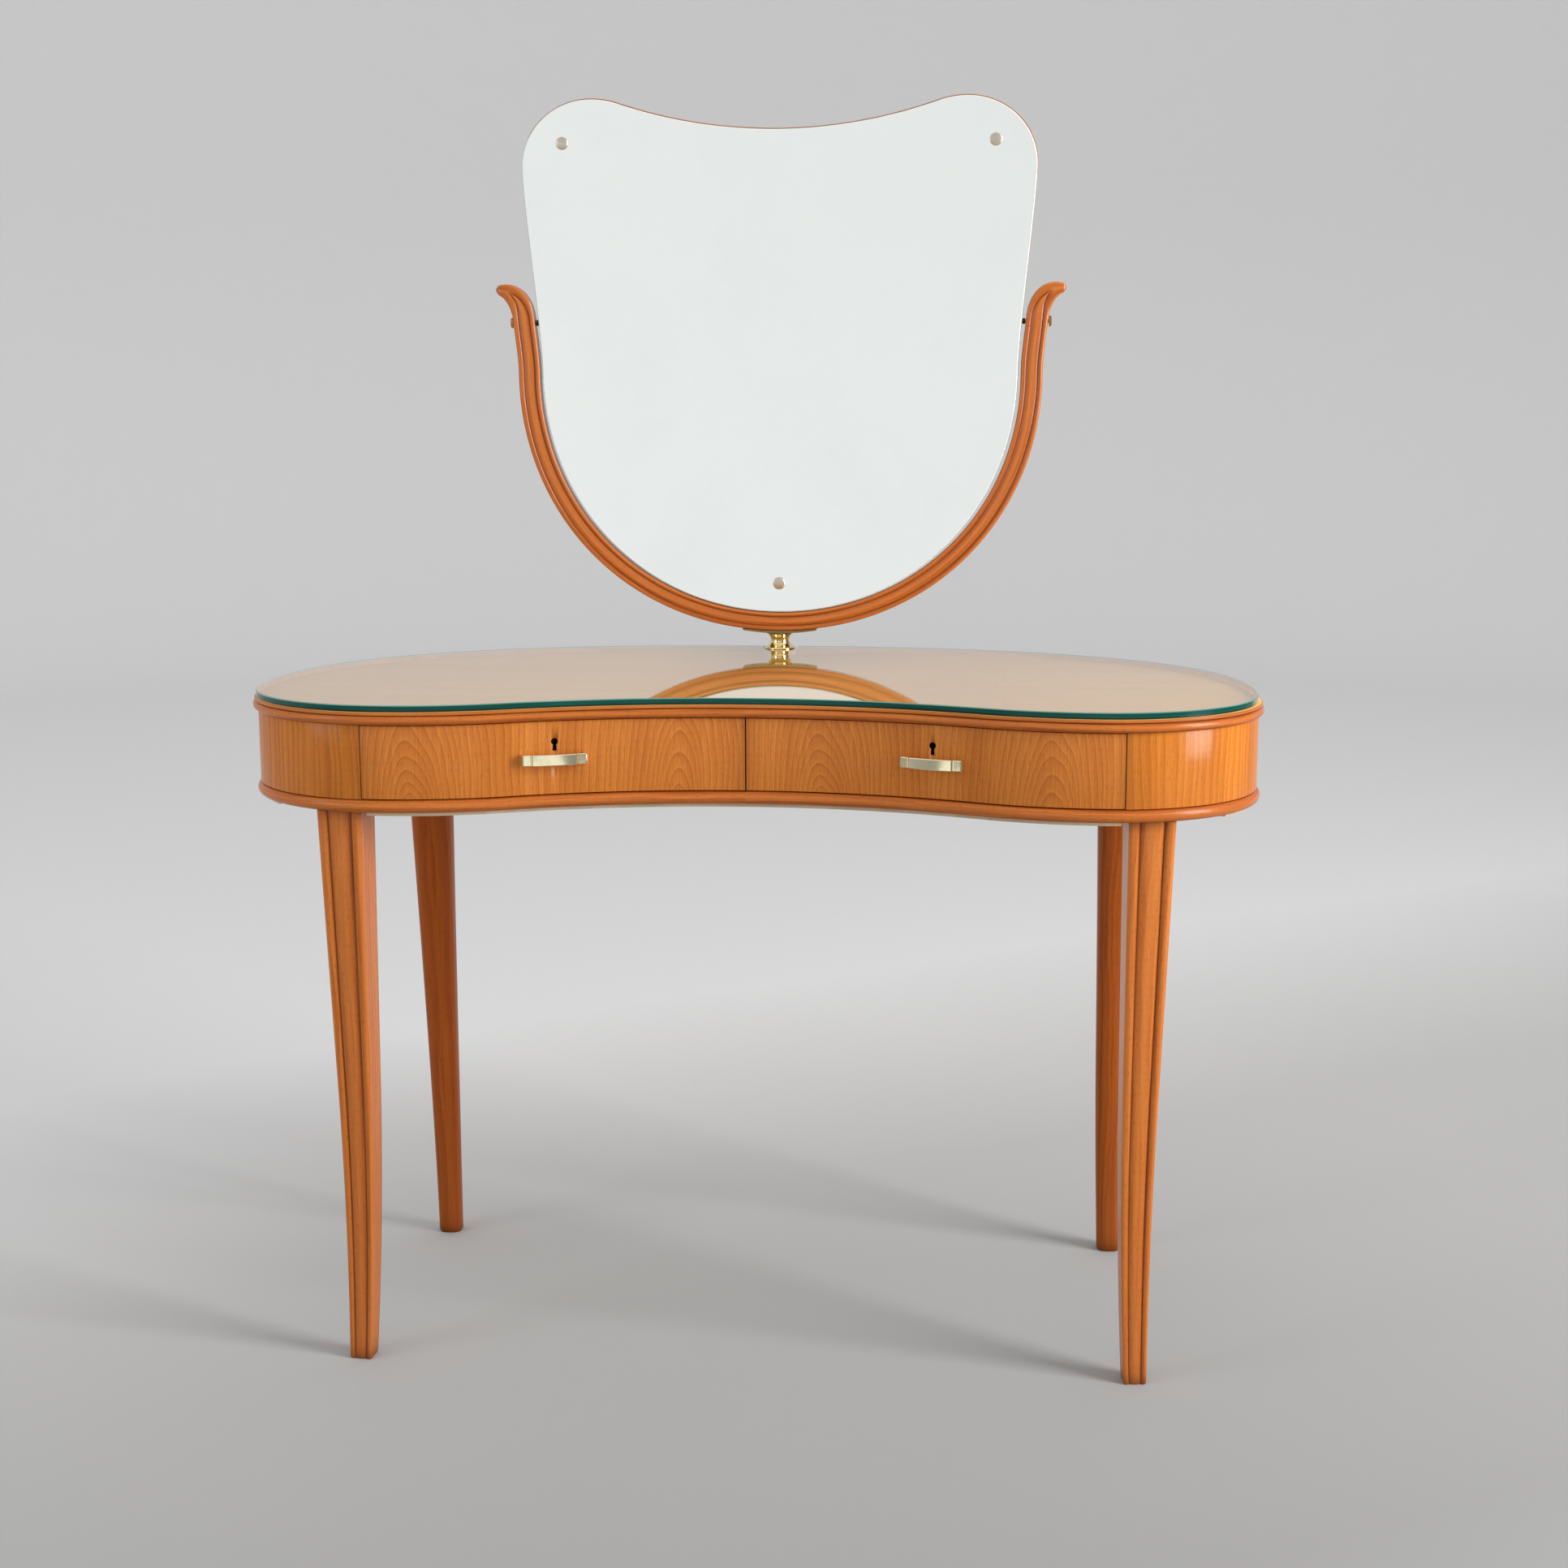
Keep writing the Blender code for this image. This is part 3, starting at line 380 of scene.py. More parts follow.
def wood(name, dark, middle, light, figure=0.0, leaf=0.3, shift=0.0, streaks=1.0, roughness=0.34, coat=0.2,
        source="grain", pores=1.0, bands=110.0, gloss=0.12):
    """Polished wood. Grain runs along the map's second direction, and figure adds plain-sawn arches to it. The
    wear map darkens the hollows and lightens the crests: dirt and rubbing, with painted shade and painted highlight."""
    t = Tree(name)
    add, sub, mul, noise = t.add, t.sub, t.mul, t.noise
    if source == "grain":
        across, along, deep = t.parts(t.uv("grain"))
    else:
        x, y, z = t.parts(t.object_place())
        across, along, deep = {"x": (y, x, z), "y": (x, y, z), "z": (x, z, y)}[source]
    across = add(across, shift)
    flat = t.join(across, along, deep)
    wander = sub(noise(t.place(flat, (7, 3.5, 7)), detail=3.0), 0.5)
    small_wander = sub(noise(t.place(flat, (60, 9, 60), (3, 1, 2)), detail=2.0), 0.5)
    bent = add(across, mul(wander, 0.03))
    bent = add(bent, mul(small_wander, 0.003))
    if figure:
        fold = t.math("PINGPONG", bent, leaf / 2)
        height = sub(along, ARCH_ROOT_Z)
        lift = add(mul(height, figure), mul(wander, 0.035))
        ring = t.math("SQRT", add(t.math("POWER", fold, 2.0), t.math("POWER", lift, 2.0)))
        spread = add(t.div(ring, HEART_RADIUS), 1.0)
        count = mul(t.math("LOGARITHM", spread, exp(1.0)), HEART_RINGS)
    else:
        ring = bent
        count = mul(ring, bands)
    uneven = noise(t.join(mul(ring, 45.0), 0.0, 0.0), detail=2.0)
    phase = t.math("FRACT", add(count, mul(uneven, 2.6)))
    stops = [(0.0, 0.74), (0.16, 0.54), (0.66, 0.36), (0.9, 0.06), (1.0, 0.74)] if figure else [
        (0.0, 0.62), (0.45, 0.46), (0.82, 0.16), (0.93, 0.28), (1.0, 0.62)]
    bands_tone = t.parts(t.ramp(phase, stops))[0]
    broad = noise(t.place(flat, (26, 1.6, 26), (5, 2, 0)), detail=3.0)
    fine = noise(t.place(flat, (620, 14, 620), (1, 7, 0)), detail=3.0, roughness=0.65)
    tone = add(mul(bands_tone, 0.46), mul(broad, 0.52 * streaks))
    tone = add(tone, mul(fine, 0.56 * streaks))
    tone = sub(tone, 0.215 + 0.025 * streaks, clamp=True)
    colour = t.ramp(tone, [(0.08, dark), (0.47, middle), (0.92, light)])
    speck = noise(t.place(flat, (2300, 130, 2300)), detail=1.0)
    pore = t.between(speck, 0.58, 0.72)
    pore_share = mul(pore, 0.4 * pores)
    colour = t.mix(pore_share, colour, tuple(0.42 * c for c in dark))
    worn = noise(t.place(flat, (18, 12, 18), (9, 4, 1)), detail=4.0)
    # Darkening and lightening from the wear map: dirt and rubbing, with painted shade and painted highlight.
    grime_and_shade, rub_and_highlight, _ = t.parts(t.uv("wear"))
    patchy = add(mul(worn, 0.9), 0.45)
    grime_and_shade = mul(mul(grime_and_shade, patchy), 0.8, clamp=True)
    rub_and_highlight = mul(mul(rub_and_highlight, patchy), 0.45, clamp=True)
    colour = t.mix(rub_and_highlight, colour, tuple(min(1.22 * c + 0.02, 0.95) for c in light))
    colour = t.mix(grime_and_shade, colour, tuple(0.4 * c for c in dark))
    t.give("Base Color", colour)
    rough = add(mul(worn, 0.16), roughness - 0.08)
    rough = add(rough, mul(grime_and_shade, 0.25), clamp=True)
    t.give("Roughness", rough)
    height = sub(mul(fine, 0.35), pore_share)
    t.give("Normal", t.bump(height, 0.00012))
    t.give("Specular IOR Level", gloss)
    t.give("Coat Weight", coat)
    t.give("Coat Roughness", 0.18)
    return t.material


def raw_wood(name, source, tone=(0.6, 0.41, 0.22)):
    """Unpolished inner wood whose grain follows one axis of the model."""
    dark = tuple(0.74 * c for c in tone)
    light = tuple(min(1.12 * c, 0.95) for c in tone)
    return wood(name, dark, tone, light, streaks=0.8, roughness=0.62, coat=0.0, source=source, pores=0.6, bands=70.0,
        gloss=0.3)


def metal(name, colour, dull, roughness, mottling=0.12, brushed=0.0):
    """Metal with faint tarnish, hand marks and, where asked for, brushing."""
    t = Tree(name)
    place = t.object_place()
    cloud = t.noise(place, scale=90.0, detail=5.0, roughness=0.6)
    spots = t.between(t.noise(place, scale=810.0, detail=2.0), 0.62, 0.8)
    share = t.mul(t.between(cloud, 0.35, 0.75), mottling * 4)
    share = t.add(share, t.mul(spots, mottling), clamp=True)
    t.give("Base Color", t.mix(share, colour, dull))
    t.give("Metallic", 1.0)
    rough = t.add(t.mul(cloud, 0.1), roughness - 0.05)
    t.give("Roughness", rough)
    lines = t.noise(t.place(place, (900, 900, 4000)), detail=1.0)
    height = t.add(t.mul(lines, brushed), t.mul(cloud, 0.3))
    t.give("Normal", t.bump(height, 0.00006))
    return t.material


def glass_face():
    """The plate's two faces: seen through, and mirroring more at flat angles as both of its surfaces do."""
    t = Tree("plate_glass_face")
    steep = t.math("POWER", t.node("LayerWeight").outputs["Facing"], 5.0)
    once = t.add(t.mul(steep, 0.96), 0.04)
    twice = t.div(t.mul(once, 2.0), t.add(once, 1.0))
    clear = t.node("BsdfTransparent", Color=(0.975, 0.99, 0.98))
    smear = t.noise(t.object_place(), scale=14.0, detail=4.0)
    gloss = t.node("BsdfGlossy", Color=(1.0, 1.0, 1.0), Roughness=t.mul(smear, 0.05))
    blend = t.node("MixShader", Fac=twice)
    t.links.new(clear.outputs[0], blend.inputs[1])
    t.links.new(gloss.outputs[0], blend.inputs[2])
    t.end_with(blend)
    return t.material


def glass_under():
    """The plate's underside, which only tints."""
    t = Tree("plate_glass_under")
    dust = t.noise(t.object_place(), scale=40.0, detail=3.0)
    tint = t.ramp(dust, [(0.3, (0.985, 0.995, 0.99)), (0.8, (0.955, 0.975, 0.965))])
    clear = t.node("BsdfTransparent", Color=tint)
    t.end_with(clear)
    return t.material


def ground_finish(t, drift, roughness, coat):
    """The sheen that all glass edges share, a little uneven along the edge."""
    t.give("Roughness", t.add(t.mul(drift, 0.08), roughness))
    t.give("Specular IOR Level", 0.3)
    t.give("Coat Weight", coat)
    t.give("Coat Roughness", 0.03)
    return t.material


def glass_edge(name, deep, bright, roughness, coat=0.6):
    """Ground glass edge: body colour with lighter drifts along it."""
    t = Tree(name)
    place = t.object_place()
    drift = t.noise(t.place(place, (9, 9, 260)), detail=3.0)
    t.give("Base Color", t.ramp(drift, [(0.3, deep), (0.75, bright)]))
    return ground_finish(t, drift, roughness, coat)


def plate_edge(name, deep, bright, roughness):
    """The plate's green edge; towards the back it is seen from inside, and there its colour is a painted view through
    the glass: the wood it lies on, with pale grey studio above.
    """
    t = Tree(name)
    place = t.object_place()
    _, y, z = t.parts(place)
    drift = t.noise(t.place(place, (9, 9, 260)), detail=3.0)
    green = t.ramp(drift, [(0.3, deep), (0.75, bright)])
    # Painted view through the glass at the back: wood low on the edge, pale grey studio above.
    high = t.div(t.sub(z, GLASS_LOW_Z + 0.0042), 0.0008, clamp=True)
    grain = t.noise(t.place(place, (1.6, 60, 60)), detail=3.0)
    painted_wood_seen_through = t.ramp(grain, [(0.3, (0.7, 0.42, 0.14)), (0.7, (0.92, 0.6, 0.22))])
    inner = t.mix(high, painted_wood_seen_through, (0.6, 0.66, 0.64))
    back = t.div(t.add(y, 0.165), 0.05, clamp=True)
    t.give("Base Color", t.mix(back, green, inner))
    return ground_finish(t, drift, roughness, 0.25)


def mirror_face():
    """Silvered glass with the faint grey clouds and dust of an old mirror."""
    t = Tree("silvered_mirror")
    place = t.object_place()
    cloud = t.parts(t.ramp(t.noise(place, scale=5.0, detail=6.0, roughness=0.62), [(0.48, 0.0), (0.8, 1.0)]))[0]
    specks = t.between(t.noise(place, scale=420.0, detail=1.0), 0.74, 0.82)
    share = t.add(t.mul(cloud, 0.45), t.mul(specks, 0.25), clamp=True)
    t.give("Base Color", t.mix(share, (0.96, 0.98, 0.968), (0.86, 0.89, 0.88)))
    t.give("Metallic", 1.0)
    t.give("Roughness", t.add(t.mul(share, 0.05), 0.012))
    return t.material


def studio_surface():
    """Matt studio paper with painted shade: grey underfoot and darker to the right, paler from a little behind the
    table and up the wall.
    """
    t = Tree("studio_paper")
    place = t.object_place()
    x, y, _ = t.parts(place)
    # Painted shade: the paper grows darker towards the front and the right.
    painted_shade_ramp = t.sub(t.mul(y, 0.4), t.mul(x, 0.27))
    paper = t.noise(place, scale=1.3, detail=4.0)
    shade = t.add(t.add(painted_shade_ramp, 0.4), t.mul(paper, 0.06), clamp=True)
    t.give("Base Color", t.ramp(shade, [(0.04, (0.335, 0.338, 0.34)), (0.56, (0.5, 0.502, 0.504)),
        (1.0, (0.775, 0.775, 0.78))]))
    t.give("Roughness", 0.85)
    t.give("Specular IOR Level", 0.1)
    return t.material


VENEER_DARK, VENEER_MIDDLE, VENEER_LIGHT = (0.36, 0.088, 0.012), (0.57, 0.172, 0.026), (0.77, 0.3, 0.06)
SOLID_DARK, SOLID_MIDDLE, SOLID_LIGHT = (0.29, 0.06, 0.008), (0.47, 0.114, 0.016), (0.66, 0.21, 0.036)
LEFT_VENEER = wood("left_drawer_veneer", VENEER_DARK, VENEER_MIDDLE, VENEER_LIGHT, figure=0.22, leaf=0.285,
    shift=-0.05)
RIGHT_VENEER = wood("right_drawer_veneer", VENEER_DARK, VENEER_MIDDLE, VENEER_LIGHT, figure=0.22, leaf=0.25,
    shift=-0.08)
END_VENEER = wood("end_veneer", (0.35, 0.088, 0.01), (0.6, 0.184, 0.023), (0.8, 0.32, 0.058), streaks=0.9,
    coat=0.34, gloss=0.05)
# The top's veneer under the glass is paler and brighter than the other veneers: partly its own colour, partly painted
# reflection of the yoke and the pale studio in the glass.
BRIGHTENED_TOP_VENEER = wood("brightened_top_veneer", (0.78, 0.38, 0.1), (0.94, 0.53, 0.17), (0.97, 0.64, 0.25), streaks=0.7, gloss=0.0,
    coat=0.0)
MOULDING_WOOD = wood("moulding_wood", (0.18, 0.03, 0.003), (0.37, 0.077, 0.009), (0.59, 0.175, 0.027), streaks=1.3,
    roughness=0.3, coat=0.3, pores=1.3)
LEG_WOOD = wood("leg_wood", SOLID_DARK, SOLID_MIDDLE, SOLID_LIGHT, streaks=1.25, roughness=0.33, coat=0.42, gloss=0.08,
    pores=1.3)
# The rear legs' wood is a darker copy of the front legs' wood: painted shade.
SHADED_REAR_LEG_WOOD = wood("shaded_rear_leg_wood", (0.23, 0.044, 0.005), (0.37, 0.08, 0.01), (0.52, 0.15, 0.022), streaks=1.0,
    roughness=0.36, coat=0.12, gloss=0.08)
YOKE_WOOD = wood("yoke_wood", (0.3, 0.066, 0.009), (0.5, 0.13, 0.018), (0.7, 0.23, 0.042), streaks=0.8,
    roughness=0.27, coat=0.5)
BOARD_WOOD = wood("board_wood", (0.28, 0.08, 0.014), (0.44, 0.14, 0.03), (0.6, 0.24, 0.06), roughness=0.45, coat=0.0)
BRASS = metal("polished_brass", (0.93, 0.76, 0.38), (0.55, 0.36, 0.13), 0.09, mottling=0.08)
PALE_BRASS = metal("handle_brass", (0.96, 0.88, 0.61), (0.78, 0.64, 0.38), 0.07, mottling=0.06)
# The strap and its screws get brass much darker than the post's: painted shade under the yoke.
SHADED_STRAP_BRASS = metal("shaded_strap_brass", (0.38, 0.245, 0.085), (0.21, 0.12, 0.04), 0.3, mottling=0.14)
AGED_BRASS = metal("aged_brass", (0.52, 0.29, 0.12), (0.3, 0.15, 0.06), 0.34, mottling=0.16)
STEEL = metal("plain_steel", (0.58, 0.56, 0.53), (0.33, 0.29, 0.25), 0.34, mottling=0.12, brushed=0.5)
DARK_STEEL = metal("blackened_steel", (0.075, 0.07, 0.065), (0.045, 0.035, 0.028), 0.5, mottling=0.15)
NICKEL = metal("satin_nickel", (0.7, 0.63, 0.56), (0.5, 0.43, 0.36), 0.38, mottling=0.12, brushed=0.6)
# Near-black wood for the keyholes' walls: painted shade inside the holes.
KEYHOLE_SHADE = wood("keyhole_painted_shade", (0.01, 0.004, 0.002), (0.022, 0.009, 0.004), (0.04, 0.018, 0.008), roughness=0.7,
    coat=0.0, gloss=0.05)
MIRROR = mirror_face()
MIRROR_EDGE = glass_edge("mirror_glass_edge", (0.035, 0.06, 0.055), (0.1, 0.15, 0.14), 0.16, coat=0.2)
MIRROR_BEVEL = glass_edge("mirror_glass_bevel", (0.62, 0.69, 0.67), (0.84, 0.9, 0.88), 0.12, coat=0.3)
GLASS_FACE = glass_face()
GLASS_UNDER = glass_under()
GLASS_SIDE = plate_edge("plate_glass_edge", (0.0015, 0.048, 0.036), (0.004, 0.092, 0.07), 0.08)
GLASS_FOOT = plate_edge("plate_glass_foot", (0.001, 0.014, 0.011), (0.002, 0.026, 0.02), 0.2)
GLASS_BEVEL = glass_edge("plate_glass_bevel", (0.045, 0.2, 0.165), (0.12, 0.34, 0.29), 0.1)


# ---- case ----

def ring_at(outline, z):
    return [(x, y, z) for x, y in outline]


def moulding(name, profile, look, face_look, wear):
    """A kidney board whose edge follows inset and height pairs from bottom to top, with the darkening and lightening
    of each; the lightening is partly painted highlight.
    """
    rings = [ring_at(kidney(inset), z) for inset, z in profile]
    around = lengths(rings[0], closed=True)
    up = lengths([(inset, z) for inset, z in profile])
    board = skin(name, rings, [look, face_look], lambda r, c: (up[r], around[c]),
        cap_uv="yx", angle=50, wear_and_light_of=lambda r, c: wear[r])
    dress_caps(board, lambda place: 1)
    return board


def half_round(radius, middle_z, edge_inset, count=12):
    return [(edge_inset + radius * (1 - cos(a)), middle_z + radius * sin(a)) for a in steps(-pi / 2, pi / 2, count)]


def make_boards():
    bead = 0.005
    profile = half_round(bead, CASE_TOP_Z + bead, 0.0)
    wear = [crest_wear_and_light(k / 12) for k in range(13)]
    fillet_z = CASE_TOP_Z + 2 * bead
    profile += [(0.0036, fillet_z - 0.0002), (0.0021, fillet_z + 0.0003), (0.0017, fillet_z + 0.0012),
        (0.0019, TOP_Z - 0.0006), (0.003, TOP_Z)]
    # Above the bead: darker where it meets the fillet, then a lighter fillet, partly rubbing, partly painted
    # highlight.
    wear += [(1.0, 0.0), (0.5, 0.3), (0.0, 0.9), (0.0, 1.0), (0.2, 0.4)]
    top = moulding("top_board", profile, MOULDING_WOOD, BRIGHTENED_TOP_VENEER, wear)
    cutters = [upright_bar("stud_way", (0, POST_Y, CASE_TOP_Z - 0.01), 0.0047, 0.04)]
    turn = front_turn(KEYHOLE_X)
    lock_y = front_y(KEYHOLE_X, CASE_INSET) + (FRONT_THICKNESS + LOCK_OFFSET) / cos(turn)
    for side, word in SIDES:
        corners = ((-0.0075, -0.003), (0.0075, -0.003), (0.0075, 0.003), (-0.0075, 0.003))
        mortise = skin(f"{word}_bolt_mortise", [[(x, y, z) for x, y in corners] for z in (-0.01, 0.007)],
            [BRIGHTENED_TOP_VENEER], lambda r, c: (c * 0.01, r * 0.01), cap_uv="xy")
        mortise.matrix_world = (Matrix.Translation((side * KEYHOLE_X, lock_y, CASE_TOP_Z))
            @ Matrix.Rotation(side * turn, 4, "Z"))
        cutters.append(mortise)
    cut(top, *cutters)
    stand_for(top, "table", "polished_wood", "table_top")
    radius = (CASE_FLOOR_Z - BASE_Z) / 2
    base = moulding("base_moulding", half_round(radius, BASE_Z + radius, 0.002), MOULDING_WOOD, BOARD_WOOD,
        [crest_wear_and_light(k / 12) for k in range(13)])
    stand_for(base, "table", "polished_wood", "base_board")


def crest_wear_and_light(share):
    """Darkening at a half-round's edges and lightening along its crest, from its lower edge at 0 to its upper one at
    1; the lightening is partly rubbing, partly painted highlight.
    """
    return (abs(2 * share - 1) ** 6, 0.8 * exp(-((share - 0.55) / 0.14) ** 2))


def upright_bar(name, low, radius, length):
    bm = bmesh.new()
    bm.loops.layers.uv.new("grain")
    place = Matrix.Translation(Vector(low) + Vector((0, 0, length / 2)))
    bmesh.ops.create_cone(bm, cap_ends=True, segments=48, radius1=radius, radius2=radius, depth=length, matrix=place)
    return finish_mesh(name, bm, [BRIGHTENED_TOP_VENEER])


def make_glass():
    """Plate glass with a ground bevel. The loose plate lies a little to the left, its notch round the post."""
    slip = -0.0012
    ground = 0.0012
    bevel, arris = 0.0013, 0.0005
    low, high = GLASS_LOW_Z, GLASS_HIGH_Z
    profile = [(arris, low), (0.0, low + arris), (0.0, low + 0.0016), (0.0, high - bevel * 0.7), (bevel, high)]

    def outline(inset):
        """The kidney outline with the notch for the post let into the middle of its back."""
        radius = 0.02 + inset
        points = kidney(GLASS_INSET + ground + inset)
        mouth_y = back_y(radius, GLASS_INSET + ground + inset)
        keep = [p for p in points if not (abs(p[0]) < radius + 0.0015 and p[1] > 0.1)]
        middle = max(i for i, p in enumerate(keep) if p[0] > 0 and p[1] > 0.1) + 1
        notch = [(radius + 0.0008, mouth_y), (radius, mouth_y - 0.0006)]
        notch += [(radius * cos(a), POST_Y - radius * sin(a)) for a in steps(0.0, pi, 28)]
        notch += [(-radius, mouth_y - 0.0006), (-radius - 0.0008, mouth_y)]
        moved = [(x + slip * (1 if abs(x) > 0.05 else abs(x) / 0.05), y) for x, y in keep]
        return moved[:middle] + notch + moved[middle:]

    rings = [ring_at(outline(inset), z) for inset, z in profile]
    around = lengths(rings[1], closed=True)
    plate = skin("glass_plate", rings, [GLASS_FOOT, GLASS_SIDE, GLASS_BEVEL, GLASS_FACE, GLASS_UNDER],
        lambda r, c: (r * 0.002, around[c]), cap_uv="yx", angle=25, slot_of=lambda r, c: max(r - 1, 0))
    dress_caps(plate, lambda place: 3 if place.z > (low + high) / 2 else 4)
    stand_for(plate, "table", "plate_glass", "glass_top")


def on_side(side, line):
    """The line on the right or left side, running from left to right or round the same way."""
    return line if side > 0 else [(-x, y) for x, y in reversed(line)]


def curved_panel(name, outer, inner, low, high, look, corner=0.0006):
    """A panel between two curves in plan, with softened edges and its grain upright."""
    count = len(outer)
    along = lengths(outer)
    rings = []
    for (x, y), inside in zip(outer, inner):
        across = Vector(inside) - Vector((x, y))
        depth, inwards = across.length - corner, across.normalized()
        ring = []
        for middle, z, start in ((corner, low + corner, pi), (depth, low + corner, 1.5 * pi),
            (depth, high - corner, 0.0), (corner, high - corner, 0.5 * pi)):
            for a in steps(start, start + pi / 2, 3):
                inset = middle + corner * cos(a)
                ring.append((x + inwards[0] * inset, y + inwards[1] * inset, z + corner * sin(a)))
        rings.append(ring)
    heights = [p[2] for p in rings[0]]
    return skin(name, rings, [look], lambda r, c: (along[r], heights[c % len(heights)]),
        cap_uv=lambda co: (co.y + co.x, co.z), angle=40,
        wear_and_light_of=lambda r, c: (exp(-r / 1.2) * 0.5 + exp(-(count - 1 - r) / 1.2) * 0.5, 0.0))


def make_panels():
    low, high = CASE_FLOOR_Z + GAP, CASE_TOP_Z - GAP
    inner_inset = CASE_INSET + PANEL
    first = asin((END_JOINT_X - LOBE_X) / (HALF_WIDTH - LOBE_X)) + 0.03
    last = acos((BACK_JOINT_X / HALF_WIDTH) ** (BACK_POWER / 2)) - 0.01

    def line(inset):
        points = [(END_JOINT_X, front_y(END_JOINT_X, inset))] + end_curve(inset, first, last, 30, 40)
        points.append((BACK_JOINT_X, back_y(BACK_JOINT_X, inset)))
        return points

    for side, word in SIDES:
        outer, inner = (on_side(side, line(inset)) for inset in (CASE_INSET, inner_inset))
        panel = curved_panel(f"{word}_end_veneered_panel", outer, inner, low, high, END_VENEER)
        stand_for(panel, "table", "veneer", f"{word}_end_panel")
    half = BACK_JOINT_X - 0.0005
    outer = [(x, back_y(x, CASE_INSET)) for x in steps(half, -half, 60)]
    inner = [(x, back_y(x, CASE_INSET + 0.01)) for x in steps(half, -half, 60)]
    back = curved_panel("back_veneered_panel", outer, inner, low, high, END_VENEER)
    stand_for(back, "table", "veneer", "back_panel")


# ---- drawers ----

def front_turn(x):
    step = 0.001
    return atan2(front_y(x + step, CASE_INSET) - front_y(x - step, CASE_INSET), 2 * step)


def keyhole_cutter(name, x, y, turn):
    """A keyhole's outline, round above a slot that widens downwards, as a bar through the front; its near-black
    material goes onto the hole's walls as painted shade.
    """
    radius, slot_top, slot_foot, drop = 0.0037, 0.0017, 0.0023, 0.01
    points = []
    start = asin(slot_top / radius) - pi / 2
    for a in steps(start, pi - start, 22):
        points.append((radius * cos(a), 0.003 + radius * sin(a)))
    points += [(-slot_foot, 0.003 - drop + 0.0008), (-slot_foot * 0.5, 0.003 - drop), (slot_foot * 0.5, 0.003 - drop),
        (slot_foot, 0.003 - drop + 0.0008)]
    rings = [[(u, v, w) for u, w in points] for v in (-0.01, 0.03)]
    bar = skin(name, rings, [KEYHOLE_SHADE], lambda r, c: (0.0, 0.0), cap_uv=lambda co: (0.0, 0.0))
    bar.matrix_world = Matrix.Translation((x, y, KEYHOLE_Z)) @ Matrix.Rotation(turn, 4, "Z")
    return bar


def make_drawer_fronts():
    low, high = CASE_FLOOR_Z + 0.0009, CASE_TOP_Z - 0.0009
    for side, word in SIDES:
        places = steps(DRAWER_X[0], DRAWER_X[1], 90)
        outer, inner = (on_side(side, [(x, front_y(x, inset)) for x in places])
            for inset in (CASE_INSET, CASE_INSET + FRONT_THICKNESS))
        front = curved_panel(f"{word}_veneered_front", outer, inner, low, high,
            LEFT_VENEER if side < 0 else RIGHT_VENEER, corner=0.0008)
        x = side * KEYHOLE_X
        hole = keyhole_cutter(f"{word}_key_way", x, front_y(x, CASE_INSET), side * front_turn(KEYHOLE_X))
        cut(front, hole)
        stand_for(front, f"{word}_drawer", "veneer", f"{word}_drawer_front")


def handle_plan():
    """Plan of the bent strip: two feet, two short tabs behind a sharp step, and a middle that bows forward."""
    half, strip, foot, tab = HANDLE_LENGTH / 2, 0.0026, 0.0043, 0.0092
    tab_y = -HANDLE_STANDOFF + 0.0016
    outer = [(-half + 0.0004, 0.0), (-half, tab_y + 0.0026), (-half + 0.0005, tab_y + 0.001),
        (-half + 0.002, tab_y), (-half + tab - 0.0002, tab_y - 0.0003), (-half + tab + 0.0002, tab_y + 0.0002),
        (-half + tab + 0.001, tab_y + 0.0001), (-half + tab + 0.0016, tab_y - 0.0009)]
    bow_half = half - tab - 0.0026
    outer += [(x, -HANDLE_STANDOFF - 0.0012 * (1 - (x / bow_half) ** 2)) for x in steps(-bow_half, 0, 10)]
    start = 8
    outer += [(-x, y) for x, y in reversed(outer[:-1])]
    inner = [(half - foot, 0.0), (half - foot, tab_y + strip + 0.0006), (half - foot - 0.0006, tab_y + strip),
        (half - tab - 0.0004, tab_y + strip)]
    inner += [(-x, y + strip) for x, y in outer[start:-start]]
    inner += [(-x, y) for x, y in reversed(inner[:4])]
    return outer + inner


def make_handles():
    for side, word in SIDES:
        turn = side * front_turn(HANDLE_X)
        rings = []
        ease = 0.0007
        plan = handle_plan()
        for z, grow in ((-HANDLE_HEIGHT / 2, -ease), (-HANDLE_HEIGHT / 2 + ease, 0.0), (HANDLE_HEIGHT / 2 - ease, 0.0),
                (HANDLE_HEIGHT / 2, -ease)):
            rings.append([(x, y, z) for x, y in offset(plan, grow)])
        handle = skin(f"{word}_bent_handle", rings, [PALE_BRASS], lambda r, c: (r * 0.004, c * 0.001),
            cap_uv="xy", angle=28)
        x, y = side * HANDLE_X, front_y(HANDLE_X, CASE_INSET)
        lift = 0.0004
        handle.matrix_world = (Matrix.Translation((x + lift * sin(turn), y - lift * cos(turn), HANDLE_Z))
            @ Matrix.Rotation(turn, 4, "Z"))
        stand_for(handle, f"{word}_drawer", "brass", f"{word}_drawer_handle")


def offset(points, grow):
    """A closed outline moved outwards by grow along its corners' mean normals."""
    if grow == 0.0:
        return points
    moved = []
    count = len(points)
    area = sum(points[i - 1][0] * points[i][1] - points[i][0] * points[i - 1][1] for i in range(count))
    sign = 1.0 if area > 0 else -1.0
    for i in range(count):
        before, here, after = (Vector(points[(i + k) % count]) for k in (-1, 0, 1))
        a, b = (here - before).normalized(), (after - here).normalized()
        normal = Vector((a.y + b.y, -a.x - b.x)) * sign
        normal.normalize()
        spread = max(normal.dot(Vector((a.y, -a.x)) * sign), 0.5)
        moved.append(tuple(here + normal * grow / spread))
    return moved


# ---- legs ----

GROOVE_U = 0.262


